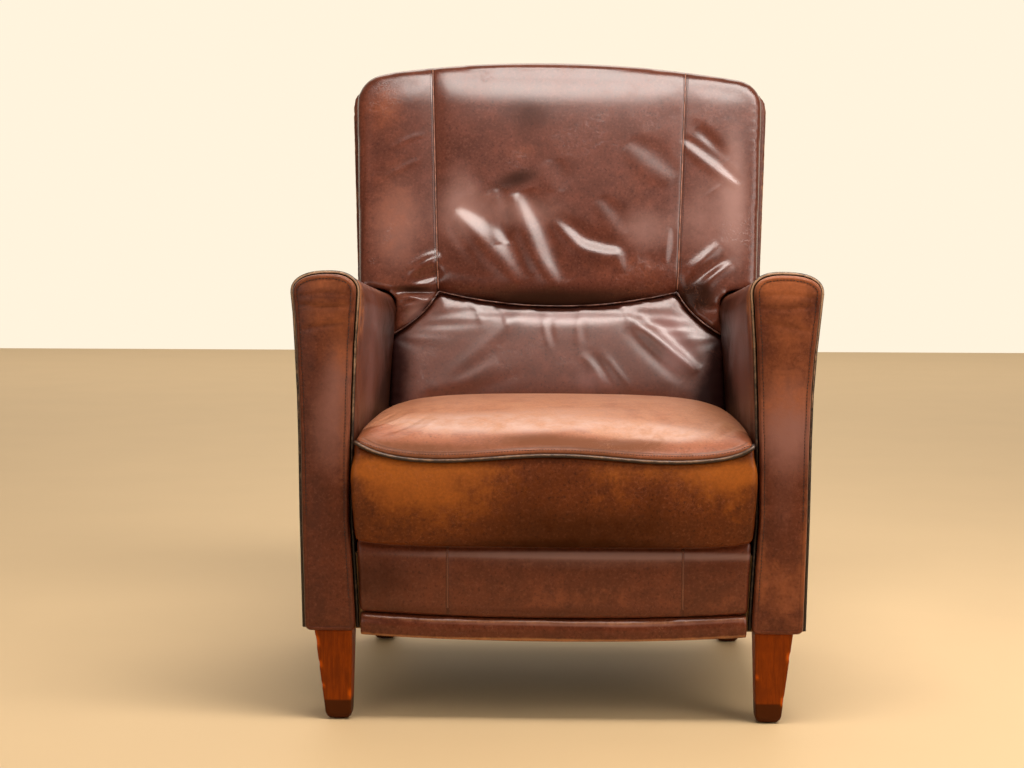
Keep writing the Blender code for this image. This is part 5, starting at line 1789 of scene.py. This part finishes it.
def make_dust_cloth(name):
    """Black spun-bonded cloth: fused random fibres, matt, with fine pressed dots."""
    finish, tree, shader = new_finish(name)
    place = object_place(tree)
    fibres = add_noise(tree, place, 0.0016, 4.0, distortion=1.5)
    dots = add_node(tree, "TexVoronoi", {"Vector": place, "Scale": 1 / 0.0022,
                                         "Randomness": 0.1}, feature="F1").outputs["Distance"]
    set_inputs(tree, shader, {
        "Base Color": add_mix(tree, fibres, (0.006, 0.006, 0.007, 1), (0.035, 0.034, 0.036, 1)),
        "Normal": add_bump(tree, add_math(tree, "ADD", fibres, dots), 0.0003, 0.5),
        "Roughness": 0.92})
    return finish


CLOTH_NOTCH_X = 0.270
CLOTH_NOTCH_FRONT, CLOTH_NOTCH_REAR = -0.340, 0.140
CLOTH_SAG_REACH = 0.12


class CLUBCHAIR_OT_dust_cover(bpy.types.Operator):
    """Build the dust cloth tacked under the frame"""
    bl_idname = "club_chair.dust_cover"
    bl_label = "Dust cloth"

    def execute(self, context):
        low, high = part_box("dust_cover")
        width, length = high.x - low.x, high.y - low.y
        builder = bmesh.new()
        bmesh.ops.create_grid(builder, x_segments=96, y_segments=84, size=0.5)
        for vert in builder.verts:
            vert.co.x = vert.co.x * width
            vert.co.y = (low.y + high.y) / 2 + vert.co.y * length
        cut_away = [f for f in builder.faces
                    if abs(f.calc_center_median().x) > CLOTH_NOTCH_X
                    and not CLOTH_NOTCH_FRONT < f.calc_center_median().y < CLOTH_NOTCH_REAR]
        bmesh.ops.delete(builder, geom=cut_away, context="FACES")
        for vert in builder.verts:
            x, y = vert.co.x, vert.co.y
            inside = math.prod(min(1.0, max(0.0, gap / CLOTH_SAG_REACH))
                               for gap in (0.29 - abs(x), y + 0.36, 0.19 - y))
            ripple = 0.0006 * math.sin(x * 37 + y * 11) * math.sin(y * 29 - x * 7)
            vert.co.z = high.z - 0.0002 - 0.0045 * inside * (2 - inside) - abs(ripple) * 0.8
        cloth = add_piece("dust_cloth", builder, [make_dust_cloth("spunbonded_dust_cloth")])
        smooth_shade(cloth)
        own(cloth, "dust_cloth", "dust_cover")
        return {"FINISHED"}


# ---------------------------------------------------------------- stage
CAMERA_PLACE = (0.025, -3.16, 0.72)
CAMERA_YAW, CAMERA_PITCH, CAMERA_ROLL = 1.77, 4.68, 0.16
SENSOR_WIDTH = 36.0
# name, place, what it aims at, size, share of the key lamp's power and roll in degrees
LAMPS = (("key_lamp", (0.42, -0.78, 2.50), (0.10, 0.15, 0.65), (1.9, 0.60), 1.00, -16),
         ("window_lamp", (2.00, -1.70, 1.80), (0.0, 0.0, 0.45), (1.6, 1.6), 0.60, 0),
         ("front_lamp", (-1.7, -2.9, 1.1), (0.0, 0.0, 0.4), (1.6, 1.2), 0.22, 0),
         ("floor_lamp", (0.0, 2.80, 3.20), (0.0, 1.8, 0.0), (3.0, 2.0), 0.60, 0),
         ("rear_lamp", (0.0, 6.80, 2.60), (0.0, 6.8, 0.0), (10.0, 4.0), 1.70, 0))


def soft_lamp(name, place, target, size, power, colour, roll):
    lamp = bpy.data.lights.new(name, "AREA")
    lamp.shape = "RECTANGLE"
    lamp.size, lamp.size_y = size
    lamp.energy = power
    lamp.color = colour
    holder = bpy.data.objects.new(name, lamp)
    holder.location = place
    aim = Vector(target) - Vector(place)
    turned = aim.to_track_quat("-Z", "Y") @ Quaternion((0.0, 0.0, 1.0), math.radians(roll))
    holder.rotation_euler = turned.to_euler()
    bpy.context.scene.collection.objects.link(holder)


class CLUBCHAIR_OT_stage(bpy.types.Operator):
    """Lay the plain pale floor, hang the soft lamps and set the camera"""
    bl_idname = "club_chair.stage"
    bl_label = "Floor, lamps and camera"

    def execute(self, context):
        stage = context.scene.club_chair_stage
        finish, tree, shader = new_finish("plain_painted_floor")
        speck = add_noise(tree, object_place(tree), 0.30, 6.0)
        set_inputs(tree, shader, {
            "Base Color": add_mix(tree, speck, shade(stage.floor_colour, 0.96),
                                  shade(stage.floor_colour, 1.03)),
            "Roughness": 0.7})
        builder = bmesh.new()
        bmesh.ops.create_grid(builder, x_segments=2, y_segments=2, size=stage.floor_size / 2)
        floor = add_piece("plain_floor", builder, [finish])
        floor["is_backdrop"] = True
        world = bpy.data.worlds.new("pale_room")
        world.use_nodes = True
        tree = world.node_tree
        heading = add_node(tree, "SeparateXYZ", {
            0: add_node(tree, "TexCoord").outputs["Generated"]}).outputs["Y"]
        glow = add_node(tree, "MapRange", {
            "Value": heading, "From Min": -0.2, "From Max": 0.9, "To Min": stage.room_light,
            "To Max": stage.wall_light}, interpolation_type="SMOOTHSTEP").outputs[0]
        set_inputs(tree, tree.nodes["Background"], {
            "Strength": glow, "Color": (*linear("f7ead4"), 1.0)})
        context.scene.world = world
        context.scene.view_settings.view_transform = "Standard"
        for name, place, target, size, share, roll in LAMPS:
            soft_lamp(name, place, target, size, stage.key_power * share, linear("fff6ef"), roll)

        yaw, pitch, roll = map(math.radians, (CAMERA_YAW, CAMERA_PITCH, CAMERA_ROLL))
        ahead = Vector((-math.sin(yaw) * math.cos(pitch), math.cos(yaw) * math.cos(pitch),
                        -math.sin(pitch)))
        level = Vector((math.cos(yaw), math.sin(yaw), 0.0))
        upright = level.cross(ahead)
        right = math.cos(roll) * level + math.sin(roll) * upright
        up = -math.sin(roll) * level + math.cos(roll) * upright
        view = bpy.data.cameras.new("chair_camera")
        view.lens = stage.lens
        view.sensor_width = SENSOR_WIDTH
        camera = bpy.data.objects.new("chair_camera", view)
        turn = Matrix((right, up, -ahead)).transposed().to_4x4()
        camera.matrix_world = Matrix.Translation(CAMERA_PLACE) @ turn
        context.scene.collection.objects.link(camera)
        context.scene.camera = camera
        return {"FINISHED"}


# ---------------------------------------------------------------- add-on
class CLUBCHAIR_PT_panel(bpy.types.Panel):
    """Lists the chair's settings and the steps that build it"""
    bl_idname = "CLUBCHAIR_PT_panel"
    bl_label = "Worn club chair"
    bl_space_type = "VIEW_3D"
    bl_region_type = "UI"
    bl_category = "Club chair"

    def draw(self, context):
        for group in GROUPS:
            box = self.layout.box()
            box.label(text=group.__doc__)
            settings = getattr(context.scene, GROUPS[group])
            for name in group.__annotations__:
                box.prop(settings, name)
        for step in STEPS:
            self.layout.operator(step.bl_idname)


GROUPS = {ClubChairLeather: "club_chair_leather", ClubChairSewing: "club_chair_sewing",
          ClubChairTimber: "club_chair_timber", ClubChairStage: "club_chair_stage"}
STEPS = (CLUBCHAIR_OT_carcase, CLUBCHAIR_OT_back, CLUBCHAIR_OT_lumbar, CLUBCHAIR_OT_seams,
         CLUBCHAIR_OT_seat, CLUBCHAIR_OT_base, CLUBCHAIR_OT_arms, CLUBCHAIR_OT_shell,
         CLUBCHAIR_OT_legs, CLUBCHAIR_OT_dust_cover, CLUBCHAIR_OT_stage)


def register():
    for group, place in GROUPS.items():
        bpy.utils.register_class(group)
        setattr(bpy.types.Scene, place, PointerProperty(type=group))
    for item in (*STEPS, CLUBCHAIR_PT_panel):
        bpy.utils.register_class(item)


def unregister():
    for item in reversed((*STEPS, CLUBCHAIR_PT_panel)):
        bpy.utils.unregister_class(item)
    for group, place in GROUPS.items():
        delattr(bpy.types.Scene, place)
        bpy.utils.unregister_class(group)


def main():
    register()
    bpy.ops.club_chair.carcase()
    bpy.ops.club_chair.back()
    bpy.ops.club_chair.lumbar()
    bpy.ops.club_chair.seams()
    bpy.ops.club_chair.seat()
    bpy.ops.club_chair.base()
    bpy.ops.club_chair.arms()
    bpy.ops.club_chair.shell()
    bpy.ops.club_chair.legs()
    bpy.ops.club_chair.dust_cover()
    bpy.ops.club_chair.stage()
    boxes = [[list(corner) for corner in box] for box in (CAD_BOX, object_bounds())]


if __name__ == "__main__":
    main()
